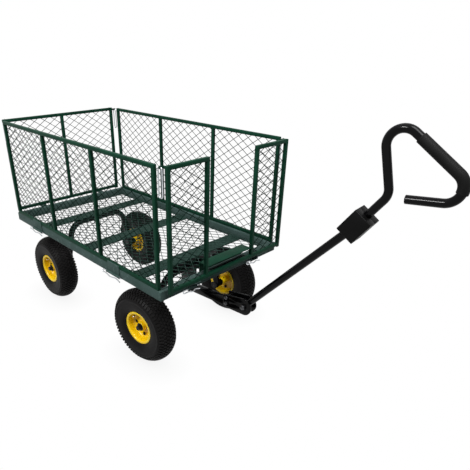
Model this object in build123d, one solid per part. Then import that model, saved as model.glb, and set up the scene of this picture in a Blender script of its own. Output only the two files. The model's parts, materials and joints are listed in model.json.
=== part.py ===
"""Garden cart: a steel deck on four air tyres, four folding mesh panels and a steered pull handle."""
from build123d import *
import math
import os

# Units are millimetres. X points forward to the handle, Y to the left, Z up.
# All pieces are laid out from the middle of the deck at ground level, then moved so that the
# origin is the bottom centre of the whole cart.

# Deck
deck_length = 964.4
deck_width = 551.4
deck_height = 33.0
deck_tube_width = 20.0
deck_wall = 2.0
deck_bottom = 308.0
floor_drop = 21.5
floor_bar_width = 59.0
floor_bar_thickness = 5.0
floor_bar_x = (-305.0, 0.0, 309.0)

# Panels
tube = 12.0
tube_wall = 1.5
panel_top = 721.5
long_panel_inset = 11.2
long_panel_overhang = 0.3
long_post_x = 157.0
short_panel_inset = 14.2
short_panel_gap = 17.3
short_panel_drop = 4.0
front_post_y = 109.0
sill_depth = 44.0
sill_height = 39.0
sill_sheet = 2.0

# Wire mesh
mesh_thickness = 2.0
mesh_strand = 2.0
diamond_width = 62.0
diamond_height = 44.0
floor_diamond_width = 76.0
floor_diamond_height = 50.0

# Panel hinges
hinge_pin_d = 4.0
hinge_knuckle_d = 8.4
hinge_offset = 4.8
hinge_height = 5.5
hinge_fit = 0.05
hinge_side_gap = 0.5
tab_plate = 3.0
ear_thickness = 4.0
ear_depth = 9.5
long_tab_width = 65.0
long_tab_x = (240.0, -297.0)
short_tab_width = 28.0
short_tab_y = 150.0
clip_lead = 8.0
clip_run = 22.0
clip_gap = 0.4
clip_hump = 4.5
clip_bend = 6.0
clip_lean = 30.0

# Corner latches
latch_wire = 4.0
latch_height = 83.0
latch_width = 16.0
latch_drop = 6.0
latch_stand_off = 4.0
latch_set_back = 12.5
latch_fit = 0.06
latch_corner = 6.0
lug_thickness = 5.0
lug_reach = 4.5
lug_arm = 6.0
keeper_d = 5.0
keeper_length = 5.0
keeper_drop = 80.0

# Wheels
tyre_d = 268.0
tyre_width = 80.0
tyre_wall = 7.0
shoulder_width = 54.0
shoulder_drop = 8.0
sidewall_r = 94.0
bead_width = 15.0
track = 458.0
bead_r = 52.0
rim_sheet = 2.5
rim_half_width = 31.0
rim_lip_r = 60.0
bead_fit = 0.3
hub_d = 30.0
hub_inner_length = 40.0
hub_outer_length = 20.0
shaft_d = 16.0
shaft_fit = 0.06
washer_thickness = 2.0
washer_d = 28.0
washer_gap = 0.3
shaft_tail = 9.0
cotter_d = 3.0
cotter_length = 26.0
rim_bolt_d = 6.0
rim_bolt_circle_r = 36.0
rim_bolt_head = 10.0
rim_bolt_fit = 0.05
rim_bolt_count = 4
valve_d = 7.0
valve_length = 22.0
valve_circle_r = 43.0

# Axles
rear_axle_x = -290.0
axle_height = 132.0
axle_fit = 0.05
axle_tube_d = 25.0
axle_tube_wall = 2.5
axle_knee_y = 128.0
axle_foot_y = 166.0
axle_bend_r = 60.0
saddle_length = 120.0
bush_d = 30.0
bush_length = 38.0

# Turntable, kingpin and tongue
kingpin_x = 309.0
steer_rest = 4.84
kingpin_d = 16.0
kingpin_fit = 0.06
plate_d = 120.0
plate_thickness = 5.0
plate_gap = 0.4
bolster_width = 54.0
bolster_length = 230.0
bolster_height = 16.0
bolster_wall = 4.0
nut_width = 24.0
nut_height = 13.0
pivot_reach = 261.0
pivot_height = 212.0
cheek_gap = 25.4
cheek_thickness = 5.0
cheek_r = 30.0
cheek_start = 176.0
cheek_rear_height = 48.0
tongue_end_gap = 49.0
tongue_height = 25.0
tongue_wall = 2.5
column = 40.0
column_wall = 4.0
front_arm_drop = 0.6
kingpin_head = 10.0
tongue_bolt_d = 8.0
tongue_bolt_reach = 190.0
tongue_bolt_z = (200.0, 222.0)
bolt_fit = 0.05
bolt_head_width = 13.0
bolt_head_height = 5.5

# Drawbar and handle
bar_d = 24.0
bar_wall = 2.0
bar_elevation = 48.8
handle_d = 22.0
bar_tail = 15.0
pivot_bolt_d = 10.0
pivot_head_width = 17.0
pivot_head_height = 7.0
joint_reach = 498.0
joint_tilt = 6.29
joint_gap = 1.5
spigot_length = 40.0
spigot_fit = 0.1
spigot_root = 6.0
hitch_pin_d = 6.0
hitch_pin_inset = 18.0
hitch_pin_recess = 0.7
stem_length = 114.0
side_length = 217.9
grip_side_length = 336.6
end_length = 180.4
stem_turn = 49.4
top_turn = -139.58
end_turn = -138.91
stem_bend_r = 40.0
corner_bend_r = 38.5
grip_d = 27.0
grip_start = 120.0
grip_fit = 0.1
grip_wrap = 72.0
plug_length = 12.0
plug_lip = 3.0
cover_length = 74.4
cover_height = 56.0
cover_depth = 55.0
cover_wall = 3.0
cover_overlap = 35.0
cover_edge = 2.0
cover_fit = 0.3

# Places worked out from the sizes above
deck_top = deck_bottom + deck_height
floor_top = deck_top - floor_drop
long_panel_length = deck_length - 2 * long_panel_inset
short_panel_width = deck_width - 2 * short_panel_inset
long_face_y = deck_width / 2 + long_panel_overhang
short_inner_x = deck_length / 2 + short_panel_gap
short_outer_x = short_inner_x + tube
panel_base = deck_top
hinge_z = deck_bottom + hinge_height
long_hinge_y = deck_width / 2 + hinge_offset
short_hinge_x = deck_length / 2 + hinge_offset
wheel_y = track / 2
turntable_z = floor_top - floor_bar_thickness - bolster_height
latch_z = panel_top - latch_drop
latch_y = short_panel_width / 2 + latch_stand_off
latch_x = short_inner_x - latch_set_back


def block(x0, x1, y0, y1, z0, z1):
    """Box between two corners."""
    return Pos((x0 + x1) / 2, (y0 + y1) / 2, (z0 + z1) / 2) * Box(x1 - x0, y1 - y0, z1 - z0)


def rod(start, end, diameter):
    """Round bar between two points."""
    axis = Vector(*end) - Vector(*start)
    plane = Plane(origin=start, z_dir=axis)
    return extrude(plane * Circle(diameter / 2), amount=axis.length)


def hex_bar(start, end, width):
    """Hexagonal bar between two points, given its width across flats."""
    axis = Vector(*end) - Vector(*start)
    plane = Plane(origin=start, z_dir=axis)
    return extrude(plane * RegularPolygon(width / 2, 6, major_radius=False), amount=axis.length)


def fused(shapes):
    """One solid from shapes that touch or overlap."""
    first, *rest = shapes
    return first.fuse(*rest) if rest else first


def swept(path, diameter):
    """Round bar along a path."""
    section = Plane(origin=path @ 0, z_dir=path % 0) * Circle(diameter / 2)
    return sweep(section, path=path)


def square_tube(x0, x1, y0, y1, z0, z1, wall):
    """Closed square tube between two corners."""
    outer = block(x0, x1, y0, y1, z0, z1)
    return outer - block(x0 + wall, x1 - wall, y0 + wall, y1 - wall, z0 + wall, z1 - wall)


def diamond_sheet(u0, u1, v0, v1, width, height):
    """Flat net of diamonds in the XY plane, filling a rectangle from its corner, cut off at the edge."""
    edge = mesh_strand
    columns = max(2, round((u1 - u0 - 2 * edge) / width))
    rows = max(2, round((v1 - v0 - 2 * edge) / height))
    step_u = (u1 - u0 - 2 * edge) / columns
    step_v = (v1 - v0 - 2 * edge) / rows
    slope = math.hypot(step_u, step_v)
    half_u = step_u / 2 - mesh_strand * slope / step_v / 2
    half_v = step_v / 2 - mesh_strand * slope / step_u / 2
    holes = []
    for row in range(2 * rows + 1):
        for column in range(2 * columns + 1):
            if (row + column) % 2:
                continue
            centre_u = u0 + edge + column * step_u / 2
            centre_v = v0 + edge + row * step_v / 2
            left = half_u if column > 0 else 0
            right = half_u if column < 2 * columns else 0
            low = half_v if row > 0 else 0
            high = half_v if row < 2 * rows else 0
            corners = [(centre_u - left, centre_v), (centre_u, centre_v - low)]
            corners += [(centre_u + right, centre_v), (centre_u, centre_v + high)]
            points = [p for p in corners if p != (centre_u, centre_v)]
            if len(points) == 2:
                points.append((centre_u, centre_v))
            holes.append(Wire.make_polygon([Vector(u, v, 0) for u, v in points]))
    border = Wire.make_polygon([Vector(u0, v0), Vector(u1, v0), Vector(u1, v1), Vector(u0, v1)])
    return extrude(Face(border, holes), amount=mesh_thickness)


def tab(width, plate_height):
    """Hinge tab about a pin on the X axis: knuckle and plate, the plate on the negative Y side."""
    knuckle = rod((-width / 2, 0, 0), (width / 2, 0, 0), hinge_knuckle_d)
    back = -hinge_offset + long_panel_overhang
    plate = block(-width / 2, width / 2, back, back + tab_plate, 0, plate_height)
    body = fused([knuckle, plate])
    bore = hinge_pin_d / 2 + hinge_fit
    return body - rod((-width, 0, 0), (width, 0, 0), 2 * bore)


def ears(width):
    """Two deck ears about a pin on the X axis, the deck face on the negative Y side."""
    inner = width / 2 + hinge_side_gap
    half = ear_depth / 2
    pair = []
    for sign in (-1, 1):
        edges = sorted((sign * inner, sign * (inner + ear_thickness)))
        ear = block(edges[0], edges[1], -hinge_offset, half, -half, half)
        hole = rod((-2 * width, 0, 0), (2 * width, 0, 0), hinge_pin_d + 2 * hinge_fit)
        pair.append(ear - hole)
    return pair


def hinge_pin(width):
    """Wire R-clip on the X axis: a straight leg through the ears and a wavy leg back below them."""
    outer = width / 2 + hinge_side_gap + ear_thickness
    lean = math.radians(clip_lean)
    leg = (ear_depth / 2 + hinge_pin_d / 2 + clip_gap) / math.cos(lean)
    eye = outer + clip_run
    corners = [(-outer - clip_lead, 0), (eye, 0), (eye, leg), (outer, leg)]
    corners += [(outer / 3, leg + clip_hump), (-outer / 2, leg), (-outer - clip_lead, leg + clip_hump)]
    radii = [0.49 * leg, 0.49 * leg, clip_bend, clip_bend, clip_bend]
    plane = Plane(origin=(0, 0, 0), x_dir=(1, 0, 0), z_dir=(0, math.cos(lean), math.sin(lean)))
    return swept(plane * FilletPolyline(*corners, radius=radii), hinge_pin_d)


# Each hinge is drawn about a pin on the X axis with the deck at negative Y, then placed.
right_turn = Rot(0, 0, 180)
front_turn = Rot(0, 0, -90)
rear_turn = Rot(0, 0, 90)
left_places = [Pos(x, long_hinge_y, hinge_z) for x in long_tab_x]
right_places = [Pos(x, -long_hinge_y, hinge_z) * right_turn for x in long_tab_x]
front_places = [Pos(short_hinge_x, y, hinge_z) * front_turn for y in (-short_tab_y, short_tab_y)]
rear_places = [Pos(-short_hinge_x, y, hinge_z) * rear_turn for y in (-short_tab_y, short_tab_y)]
long_places = left_places + right_places
short_places = front_places + rear_places


def long_tab():
    """Tab of a long panel, up the outer face of the bottom rail."""
    return tab(long_tab_width, panel_base + tube - hinge_z)


def short_tab():
    """Bent bracket of a short panel, up past the deck and out under the bottom rail."""
    rise = panel_base - hinge_z
    back = -hinge_offset + long_panel_overhang
    reach = short_panel_gap + tube - hinge_offset
    foot = block(-short_tab_width / 2, short_tab_width / 2, back, reach, rise - tab_plate, rise)
    return fused([tab(short_tab_width, rise), foot])


def deck_frame():
    """Ring of rectangular tube with the hinge ears on its outer faces."""
    x, y, w = deck_length / 2, deck_width / 2, deck_tube_width
    span = (deck_bottom, deck_top, deck_wall)
    tubes = [square_tube(-x, x, -y, -y + w, *span), square_tube(-x, x, y - w, y, *span)]
    tubes += [square_tube(-x, -x + w, -y + w, y - w, *span), square_tube(x - w, x, -y + w, y - w, *span)]
    pairs = [place * ear for place in long_places for ear in ears(long_tab_width)]
    pairs += [place * ear for place in short_places for ear in ears(short_tab_width)]
    return fused(tubes + pairs)


def floor_bars():
    """Flat bars across the deck that carry the floor mesh."""
    y = deck_width / 2 - deck_tube_width
    half = floor_bar_width / 2
    return [block(x - half, x + half, -y, y, floor_top - floor_bar_thickness, floor_top) for x in floor_bar_x]


def floor_mesh():
    """Nets laid on the bars, each from one bar's middle to the next."""
    end = deck_length / 2 - deck_tube_width
    y = deck_width / 2 - deck_tube_width
    stops = (-end, *floor_bar_x, end)
    nets = []
    for start, stop in zip(stops, stops[1:]):
        nets.append(diamond_sheet(start, stop, -y, y, floor_diamond_width, floor_diamond_height))
    return [Pos(0, 0, floor_top) * net for net in nets]


def long_frame():
    """Left panel frame: two rails, four posts, the hinge tabs and a keeper peg at each end."""
    half = long_panel_length / 2
    depth = (long_face_y - tube, long_face_y)
    low, high = panel_base + tube, panel_top - tube
    pieces = [square_tube(-half, half, *depth, panel_base, low, tube_wall)]
    pieces.append(square_tube(-half, half, *depth, high, panel_top, tube_wall))
    for x in (-half + tube / 2, -long_post_x, long_post_x, half - tube / 2):
        pieces.append(square_tube(x - tube / 2, x + tube / 2, *depth, low, high, tube_wall))
    pieces += [place * long_tab() for place in left_places]
    keeper_z = panel_top - keeper_drop
    for sign in (-1, 1):
        start = (sign * half, long_face_y - tube / 2, keeper_z)
        pieces.append(rod(start, (sign * (half + keeper_length), start[1], keeper_z), keeper_d))
    return fused(pieces)


def upright(net):
    """Turn a flat net so that it stands along X, its thickness centred on the XZ plane."""
    return Pos(0, mesh_thickness / 2, 0) * Rot(90, 0, 0) * net


def long_mesh():
    """One net in each bay of the left panel."""
    half = long_panel_length / 2 - tube
    edge = tube / 2
    near, far = long_post_x - edge, long_post_x + edge
    bays = ((-half, -far), (-near, near), (far, half))
    low, high = panel_base + tube, panel_top - tube
    nets = [diamond_sheet(u0, u1, low, high, diamond_width, diamond_height) for u0, u1 in bays]
    return [Pos(0, long_face_y - tube / 2, 0) * upright(net) for net in nets]


def latch_lug(side):
    """Bored lug behind an end post, on an arm from the post's inner face, left or right."""
    arm_y = short_panel_width / 2 - tube / 2
    half = lug_thickness / 2
    low, high = latch_z - lug_reach, latch_z + lug_reach
    y0, y1 = sorted((side * (arm_y - lug_arm / 2), side * (arm_y + lug_arm / 2)))
    arm = block(latch_x - half, short_inner_x, y0, y1, low, high)
    y0, y1 = sorted((side * arm_y, side * (latch_y + lug_reach)))
    lug = fused([arm, block(latch_x - half, latch_x + half, y0, y1, low, high)])
    start = (latch_x - tube, side * latch_y, latch_z)
    return lug - rod(start, (latch_x + tube, side * latch_y, latch_z), latch_wire + 2 * latch_fit)


def short_posts(centres, top):
    """Square posts of a short panel in front of the deck, from the bottom rail to the given height."""
    low = panel_base + tube
    return [
        square_tube(short_inner_x, short_outer_x, y - tube / 2, y + tube / 2, low, top, tube_wall)
        for y in centres
    ]


def end_posts():
    """End posts of a short panel, running down past the bottom rail."""
    edge = short_panel_width / 2
    low = panel_base - short_panel_drop
    posts = []
    for y0, y1 in ((-edge, -edge + tube), (edge - tube, edge)):
        posts.append(square_tube(short_inner_x, short_outer_x, y0, y1, low, panel_top, tube_wall))
    return posts


def short_rail(y0, y1, z0):
    """Horizontal tube of a short panel."""
    return square_tube(short_inner_x, short_outer_x, y0, y1, z0, z0 + tube, tube_wall)


def front_frame():
    """Front panel: two wings on one bottom rail, with a low folded sill in the open middle."""
    inner = short_panel_width / 2 - tube
    gate = front_post_y - tube / 2
    top = panel_top - tube
    pieces = end_posts() + short_posts((-front_post_y, front_post_y), top)
    pieces.append(short_rail(-inner, inner, panel_base))
    pieces += [short_rail(-inner, -gate, top), short_rail(gate, inner, top)]
    sill_top = panel_base + sill_height
    sill_back = short_outer_x - sill_depth
    pieces.append(block(short_outer_x - sill_sheet, short_outer_x, -gate, gate, panel_base + tube, sill_top))
    pieces.append(block(sill_back, short_outer_x, -gate, gate, sill_top - sill_sheet, sill_top))
    pieces += [place * short_tab() for place in front_places]
    pieces += [latch_lug(-1), latch_lug(1)]
    return fused(pieces)


def rear_frame():
    """Rear panel: two rails, two end posts and one middle post."""
    inner = short_panel_width / 2 - tube
    top = panel_top - tube
    pieces = end_posts() + short_posts((0,), top)
    pieces += [short_rail(-inner, inner, panel_base), short_rail(-inner, inner, top)]
    pieces += [place * short_tab() for place in front_places]
    pieces += [latch_lug(-1), latch_lug(1)]
    return Rot(0, 0, 180) * fused(pieces)


def short_mesh(bays):
    """One net in each bay of a short panel in front of the deck."""
    low, high = panel_base + tube, panel_top - tube
    nets = [diamond_sheet(u0, u1, low, high, diamond_width, diamond_height) for u0, u1 in bays]
    middle = short_inner_x + tube / 2
    return [Pos(middle, 0, 0) * Rot(0, 0, 90) * upright(net) for net in nets]


def front_mesh():
    """Nets of the front panel's two wings."""
    inner = short_panel_width / 2 - tube
    gate = front_post_y + tube / 2
    return short_mesh(((-inner, -gate), (gate, inner)))


def rear_mesh():
    """Nets of the rear panel's two halves."""
    inner = short_panel_width / 2 - tube
    return [Rot(0, 0, 180) * net for net in short_mesh(((-inner, -tube / 2), (tube / 2, inner)))]


def corner_latch():
    """Closed wire bail hanging from the lug of the front left corner."""
    loop = Plane.XZ * Pos(latch_x, latch_z - latch_height / 2) * RectangleRounded(
        latch_width, latch_height, latch_corner
    )
    path = loop.wire()
    section = Plane(origin=path @ 0, z_dir=path % 0) * Circle(latch_wire / 2)
    return Pos(0, latch_y, 0) * sweep(section, path=path)


def tyre():
    """Air tyre about the Y axis, outboard at positive Y."""
    crown = tyre_d / 2
    shoulder = (crown - shoulder_drop, shoulder_width / 2)
    base = bead_r + bead_fit
    bead = rim_half_width - rim_sheet - bead_fit
    heel = rim_lip_r + bead_fit
    toe = bead - bead_width
    side = (sidewall_r, tyre_width / 2)

    neck = (heel, toe + tyre_wall / 2)
    inner_shoulder = (shoulder[0] - tyre_wall, shoulder[1] - tyre_wall)
    inner_side = (side[0], side[1] - tyre_wall)

    def across(point):
        return (point[0], -point[1])

    outline = Line((base, bead), (heel, bead))
    outline += ThreePointArc((heel, bead), side, shoulder)
    outline += ThreePointArc(shoulder, (crown, 0), across(shoulder))
    outline += ThreePointArc(across(shoulder), across(side), (heel, -bead))
    outline += Polyline((heel, -bead), (base, -bead), (base, -toe), across(neck))
    outline += ThreePointArc(across(neck), across(inner_side), across(inner_shoulder))
    outline += ThreePointArc(across(inner_shoulder), (crown - tyre_wall, 0), inner_shoulder)
    outline += ThreePointArc(inner_shoulder, inner_side, neck)
    outline += Polyline(neck, (base, toe), (base, bead))
    return revolve(make_face(outline), Axis.Y)


def rim_profile(bore):
    """Half rim section from the wheel's middle plane outwards: disc, barrel and lip."""
    seat = rim_half_width - rim_sheet
    inside = bead_r - rim_sheet
    points = [(bore, 0), (bead_r, 0), (bead_r, seat), (rim_lip_r, seat), (rim_lip_r, rim_half_width)]
    points += [(inside, rim_half_width), (inside, rim_sheet), (bore, rim_sheet), (bore, 0)]
    return make_face(Polyline(*points))


def rim_holes():
    """Bolt holes through both rim discs."""
    holes = []
    for place in PolarLocations(rim_bolt_circle_r, rim_bolt_count):
        x, y = place.position.X, place.position.Y
        holes.append(rod((x, -tube, y), (x, tube, y), rim_bolt_d + 2 * rim_bolt_fit))
    return holes


def outer_rim():
    """Outboard rim half, pushed over the hub."""
    rim = revolve(rim_profile(hub_d / 2 + rim_bolt_fit), Axis.Y)
    return rim.cut(*rim_holes())


def inner_rim():
    """Inboard rim half with the hub tube welded in."""
    rim = mirror(revolve(rim_profile(hub_d / 2), Axis.Y), about=Plane.XZ)
    hub = rod((0, -hub_inner_length, 0), (0, hub_outer_length, 0), hub_d)
    bore = rod((0, -track, 0), (0, track, 0), shaft_d + 2 * shaft_fit)
    return fused([rim, hub]).cut(bore, *rim_holes())


def rim_bolts():
    """Bolts with nuts that clamp the rim halves together."""
    bolts = []
    for place in PolarLocations(rim_bolt_circle_r, rim_bolt_count):
        x, y = place.position.X, place.position.Y
        grip = rim_sheet
        shank = rod((x, -grip - rim_bolt_d, y), (x, grip, y), rim_bolt_d)
        head = hex_bar((x, grip, y), (x, grip + rim_bolt_d * 0.6, y), rim_bolt_head)
        nut = hex_bar((x, -grip - rim_bolt_d * 0.8, y), (x, -grip, y), rim_bolt_head)
        bolts.append(fused([shank, head, nut]))
    return bolts


def valve_stem():
    """Valve standing on the outer rim disc, a narrower cap on its end."""
    side = valve_circle_r / math.sqrt(2)
    neck = rim_sheet + valve_length * 0.6
    stem = rod((side, rim_sheet, side), (side, neck, side), valve_d)
    cap = rod((side, neck, side), (side, rim_sheet + valve_length, side), valve_d * 0.75)
    return fused([stem, cap])


wheel_pieces = {
    "tyre": tyre(),
    "rim_outer": outer_rim(),
    "rim_inner": inner_rim(),
    "rim_bolts": rim_bolts(),
    "valve": valve_stem(),
}
inner_washer_y = wheel_y - hub_inner_length - washer_gap
bush_outer_y = inner_washer_y - washer_thickness
bush_inner_y = bush_outer_y - bush_length
outer_washer_y = wheel_y + hub_outer_length + washer_gap
cotter_y = outer_washer_y + washer_thickness + cotter_d / 2 + washer_gap
shaft_end_y = cotter_y + shaft_tail


def axle_stubs():
    """Stub axle for each wheel at hub height, cross drilled at its outer end."""
    stubs = []
    for side in (-1, 1):
        shaft = rod((0, side * bush_inner_y, axle_height), (0, side * shaft_end_y, axle_height), shaft_d)
        low = (0, side * cotter_y, axle_height - shaft_d)
        stubs.append(shaft - rod(low, (0, side * cotter_y, axle_height + shaft_d), cotter_d + 2 * axle_fit))
    return stubs


def axle_washers():
    """Washers on both sides of both hubs."""
    rings = []
    for start in (bush_outer_y, outer_washer_y):
        ring = rod((0, start, axle_height), (0, start + washer_thickness, axle_height), washer_d)
        ring -= rod((0, start - tube, axle_height), (0, start + tube, axle_height), shaft_d + 2 * shaft_fit)
        rings += [ring, mirror(ring, about=Plane.XZ)]
    return rings


def axle_cotters():
    """Split pins that keep the wheels on their stub axles."""
    half = cotter_length / 2
    pins = []
    for y in (-cotter_y, cotter_y):
        pins.append(rod((0, y, axle_height - half), (0, y, axle_height + half), cotter_d))
    return pins


def bent_tube(*corners):
    """Round axle tube in the YZ plane through corner points."""
    path = Plane.YZ * FilletPolyline(*corners, radius=axle_bend_r)
    return swept(path, axle_tube_d) - swept(path, axle_tube_d - 2 * axle_tube_wall)


def axle_bushes():
    """Bush at the foot of each leg that holds a stub axle."""
    return [
        rod((0, side * bush_inner_y, axle_height), (0, side * bush_outer_y, axle_height), bush_d)
        for side in (-1, 1)
    ]


def bored_for_stubs(pieces):
    """One axle frame from its pieces, bored for both stub axles."""
    bores = []
    for side in (-1, 1):
        inner = (0, side * bush_inner_y, axle_height)
        bores.append(rod(inner, (0, side * track, axle_height), shaft_d + 2 * axle_fit))
    return fused(pieces).cut(*bores)


bar_underside = floor_top - floor_bar_thickness
lower_plate_top = turntable_z - plate_thickness - plate_gap
lower_plate_bottom = lower_plate_top - plate_thickness
kingpin_hole = kingpin_d + 2 * kingpin_fit
tongue_low = pivot_height - cheek_r


def rear_axle_frame():
    """Rear arch: one bent tube with a flat saddle under the rear floor bar."""
    top = bar_underside - axle_tube_d / 2
    half = axle_tube_d / 2
    left_leg = [(axle_knee_y, top), (axle_foot_y, axle_height)]
    right_leg = [(-axle_foot_y, axle_height), (-axle_knee_y, top)]
    saddle = block(-half, half, -saddle_length / 2, saddle_length / 2, top, bar_underside)
    saddle -= rod((0, -saddle_length, top), (0, saddle_length, top), axle_tube_d)
    return bored_for_stubs([bent_tube(*right_leg, *left_leg), saddle, *axle_bushes()])


def bolster():
    """Channel under the front floor bar that takes the kingpin."""
    half_x, half_y, wall = bolster_width / 2, bolster_length / 2, bolster_wall
    channel = block(-half_x, half_x, -half_y, half_y, turntable_z, bar_underside)
    channel -= block(-half_x + wall, half_x - wall, -half_y, half_y, turntable_z + wall, bar_underside)
    return channel - rod((0, 0, deck_bottom - deck_height), (0, 0, deck_top), kingpin_hole)


def upper_plate():
    """Turntable disc under the bolster."""
    disc = rod((0, 0, turntable_z - plate_thickness), (0, 0, turntable_z), plate_d)
    return disc - rod((0, 0, 0), (0, 0, deck_top), kingpin_hole)


def kingpin():
    """Bolt through the bolster and both turntable discs, its head inside the channel."""
    seat = turntable_z + bolster_wall
    foot = lower_plate_bottom - plate_gap - nut_height - kingpin_d / 4
    head = hex_bar((0, 0, seat), (0, 0, seat + kingpin_head), nut_width)
    return fused([rod((0, 0, foot), (0, 0, seat), kingpin_d), head])


def kingpin_nut():
    """Lock nut under the lower turntable disc."""
    top = lower_plate_bottom - plate_gap
    nut = hex_bar((0, 0, top - nut_height), (0, 0, top), nut_width)
    return nut - rod((0, 0, 0), (0, 0, deck_top), kingpin_d + 2 * bolt_fit)


def front_axle_frame():
    """Lower turntable disc, hollow column and one bent arm down to each front wheel."""
    disc = rod((0, 0, lower_plate_bottom), (0, 0, lower_plate_top), plate_d)
    disc -= rod((0, 0, 0), (0, 0, deck_top), kingpin_hole)
    half, inside = column / 2, column / 2 - column_wall
    foot = tongue_low
    post = block(-half, half, -half, half, foot, lower_plate_bottom)
    post -= block(-inside, inside, -inside, inside, foot, lower_plate_bottom)
    top = lower_plate_bottom - front_arm_drop - axle_tube_d / 2
    arms = []
    for side in (-1, 1):
        corners = [(inside, top), (axle_knee_y, top), (axle_foot_y, axle_height)]
        arms.append(bent_tube(*[(side * y, z) for y, z in corners]))
    return bored_for_stubs([disc, post, *arms, *axle_bushes()])


def cross_rod(reach, z, half_width, diameter):
    """Rod along Y through the tongue at a given reach and height."""
    return rod((reach, -half_width, z), (reach, half_width, z), diameter)


cheek_outer = cheek_gap / 2 + cheek_thickness


def bored_for_bolts(shape):
    """Shape with the holes of the pivot bolt and the two tongue bolts."""
    holes = [cross_rod(pivot_reach, pivot_height, track, pivot_bolt_d + 2 * bolt_fit)]
    holes += [cross_rod(tongue_bolt_reach, z, track, tongue_bolt_d + 2 * bolt_fit) for z in tongue_bolt_z]
    return shape.cut(*holes)


def tongue():
    """Tube from the column towards the drawbar pivot."""
    half = cheek_gap / 2
    end = pivot_reach - tongue_end_gap
    bar = square_tube(column / 2, end, -half, half, tongue_low, tongue_low + tongue_height, tongue_wall)
    return bored_for_bolts(bar)


def clevis_plates():
    """Two plates bolted to the tongue's sides, round about the drawbar pivot."""
    corners = [(cheek_start, tongue_low), (pivot_reach, tongue_low), (pivot_reach, pivot_height + cheek_r)]
    corners.append((cheek_start, tongue_low + cheek_rear_height))
    plates = []
    for side in (-1, 1):
        y0, y1 = sorted((side * cheek_gap / 2, side * cheek_outer))
        outline = Wire.make_polygon([Vector(x, y0, z) for x, z in corners])
        plate = extrude(Face(outline), amount=cheek_thickness, dir=(0, 1, 0))
        end = rod((pivot_reach, y0, pivot_height), (pivot_reach, y1, pivot_height), 2 * cheek_r)
        plates.append(bored_for_bolts(fused([plate, end])))
    return plates


def bolt_across(reach, z, diameter, head_width, head_height):
    """Bolt across the tongue, its head on the right side."""
    shank = rod((reach, -cheek_outer, z), (reach, cheek_outer + head_height * 1.5, z), diameter)
    head = hex_bar((reach, -cheek_outer - head_height, z), (reach, -cheek_outer, z), head_width)
    return fused([shank, head])


def nut_across(reach, z, diameter, width, height):
    """Nut of a bolt across the tongue, on the left side."""
    nut = hex_bar((reach, cheek_outer, z), (reach, cheek_outer + height, z), width)
    return nut - cross_rod(reach, z, track, diameter + 2 * bolt_fit)


def tongue_bolts():
    """Two bolts with nuts through the clevis plates."""
    pieces = []
    for z in tongue_bolt_z:
        size = (tongue_bolt_reach, z, tongue_bolt_d, bolt_head_width, bolt_head_height)
        pieces += [bolt_across(*size), nut_across(*size)]
    return pieces


pivot_size = (pivot_reach, pivot_height, pivot_bolt_d, pivot_head_width, pivot_head_height)

# The drawbar is drawn with its pivot at the origin, the bar along X and the handle loop in XZ.
bore_d = bar_d - 2 * bar_wall
handle_bore_d = handle_d - 2 * bar_wall
hitch_pin_reach = joint_reach - hitch_pin_inset


def hitch_hole(half_length, fit):
    """Cross hole or pin through the bar and the handle's spigot."""
    start = (hitch_pin_reach, -half_length, 0)
    return rod(start, (hitch_pin_reach, half_length, 0), hitch_pin_d + 2 * fit)


def drawbar_tube():
    """Straight tube from the pivot to the hitch joint."""
    bar = rod((-bar_tail, 0, 0), (joint_reach, 0, 0), bar_d)
    bar -= rod((-bar_tail, 0, 0), (joint_reach, 0, 0), bore_d)
    pivot_hole = rod((0, -bar_d, 0), (0, bar_d, 0), pivot_bolt_d + 2 * bolt_fit)
    return bar.cut(pivot_hole, hitch_hole(bar_d, bolt_fit))


def walk(start, steps):
    """Corner points of a path in XZ from lengths and turns in degrees."""
    heading = 0.0
    points = [start]
    for length, turn in steps:
        heading += turn
        x, z = points[-1]
        angle = math.radians(heading)
        points.append((x + length * math.cos(angle), z + length * math.sin(angle)))
    return points


handle_runs = (
    (joint_gap, joint_tilt),
    (stem_length - joint_gap, 0.0),
    (side_length, stem_turn),
    (grip_side_length, top_turn),
    (end_length, end_turn),
)
handle_corners = walk((joint_reach, 0.0), handle_runs)[1:]


def handle_tube():
    """Bent handle tube with a spigot that plugs into the drawbar."""
    radii = [stem_bend_r, corner_bend_r, corner_bend_r]
    path = Plane.XZ * FilletPolyline(*handle_corners, radius=radii)
    tube_body = swept(path, handle_d) - swept(path, handle_bore_d)
    spigot_start = (joint_reach - spigot_length, 0, 0)
    spigot = rod(spigot_start, (joint_reach + spigot_root, 0, 0), bore_d - 2 * spigot_fit)
    return fused([tube_body, spigot]) - hitch_hole(bar_d, bolt_fit)


def grip_path():
    """Line of the grip: along the grip side and part way round the last bend."""
    before, corner = (Vector(*point) for point in handle_corners[2:4])
    along = (corner - before).normalized()
    start = before + along * grip_start
    tangent = corner_bend_r / math.tan(math.radians(180 + end_turn) / 2)
    bend = corner - along * tangent
    arc = JernArc(start=bend, tangent=along, radius=corner_bend_r, arc_size=-grip_wrap)
    return Plane.XZ * (Line(start, bend) + arc)


def grip():
    """Soft sleeve over the handle."""
    path = grip_path().wire()
    return swept(path, grip_d) - swept(path, handle_d + 2 * grip_fit)


def end_plug():
    """Plug in the handle's free end."""
    before, end = (Vector(*point) for point in handle_corners[3:5])
    along = (end - before).normalized()
    inside, outside = end - along * plug_length, end + along * plug_lip
    spots = [(p.X, 0, p.Y) for p in (inside, end, outside)]
    plug = rod(spots[0], spots[1], handle_bore_d - 2 * spigot_fit)
    return fused([plug, rod(spots[1], spots[2], handle_d)])


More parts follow.
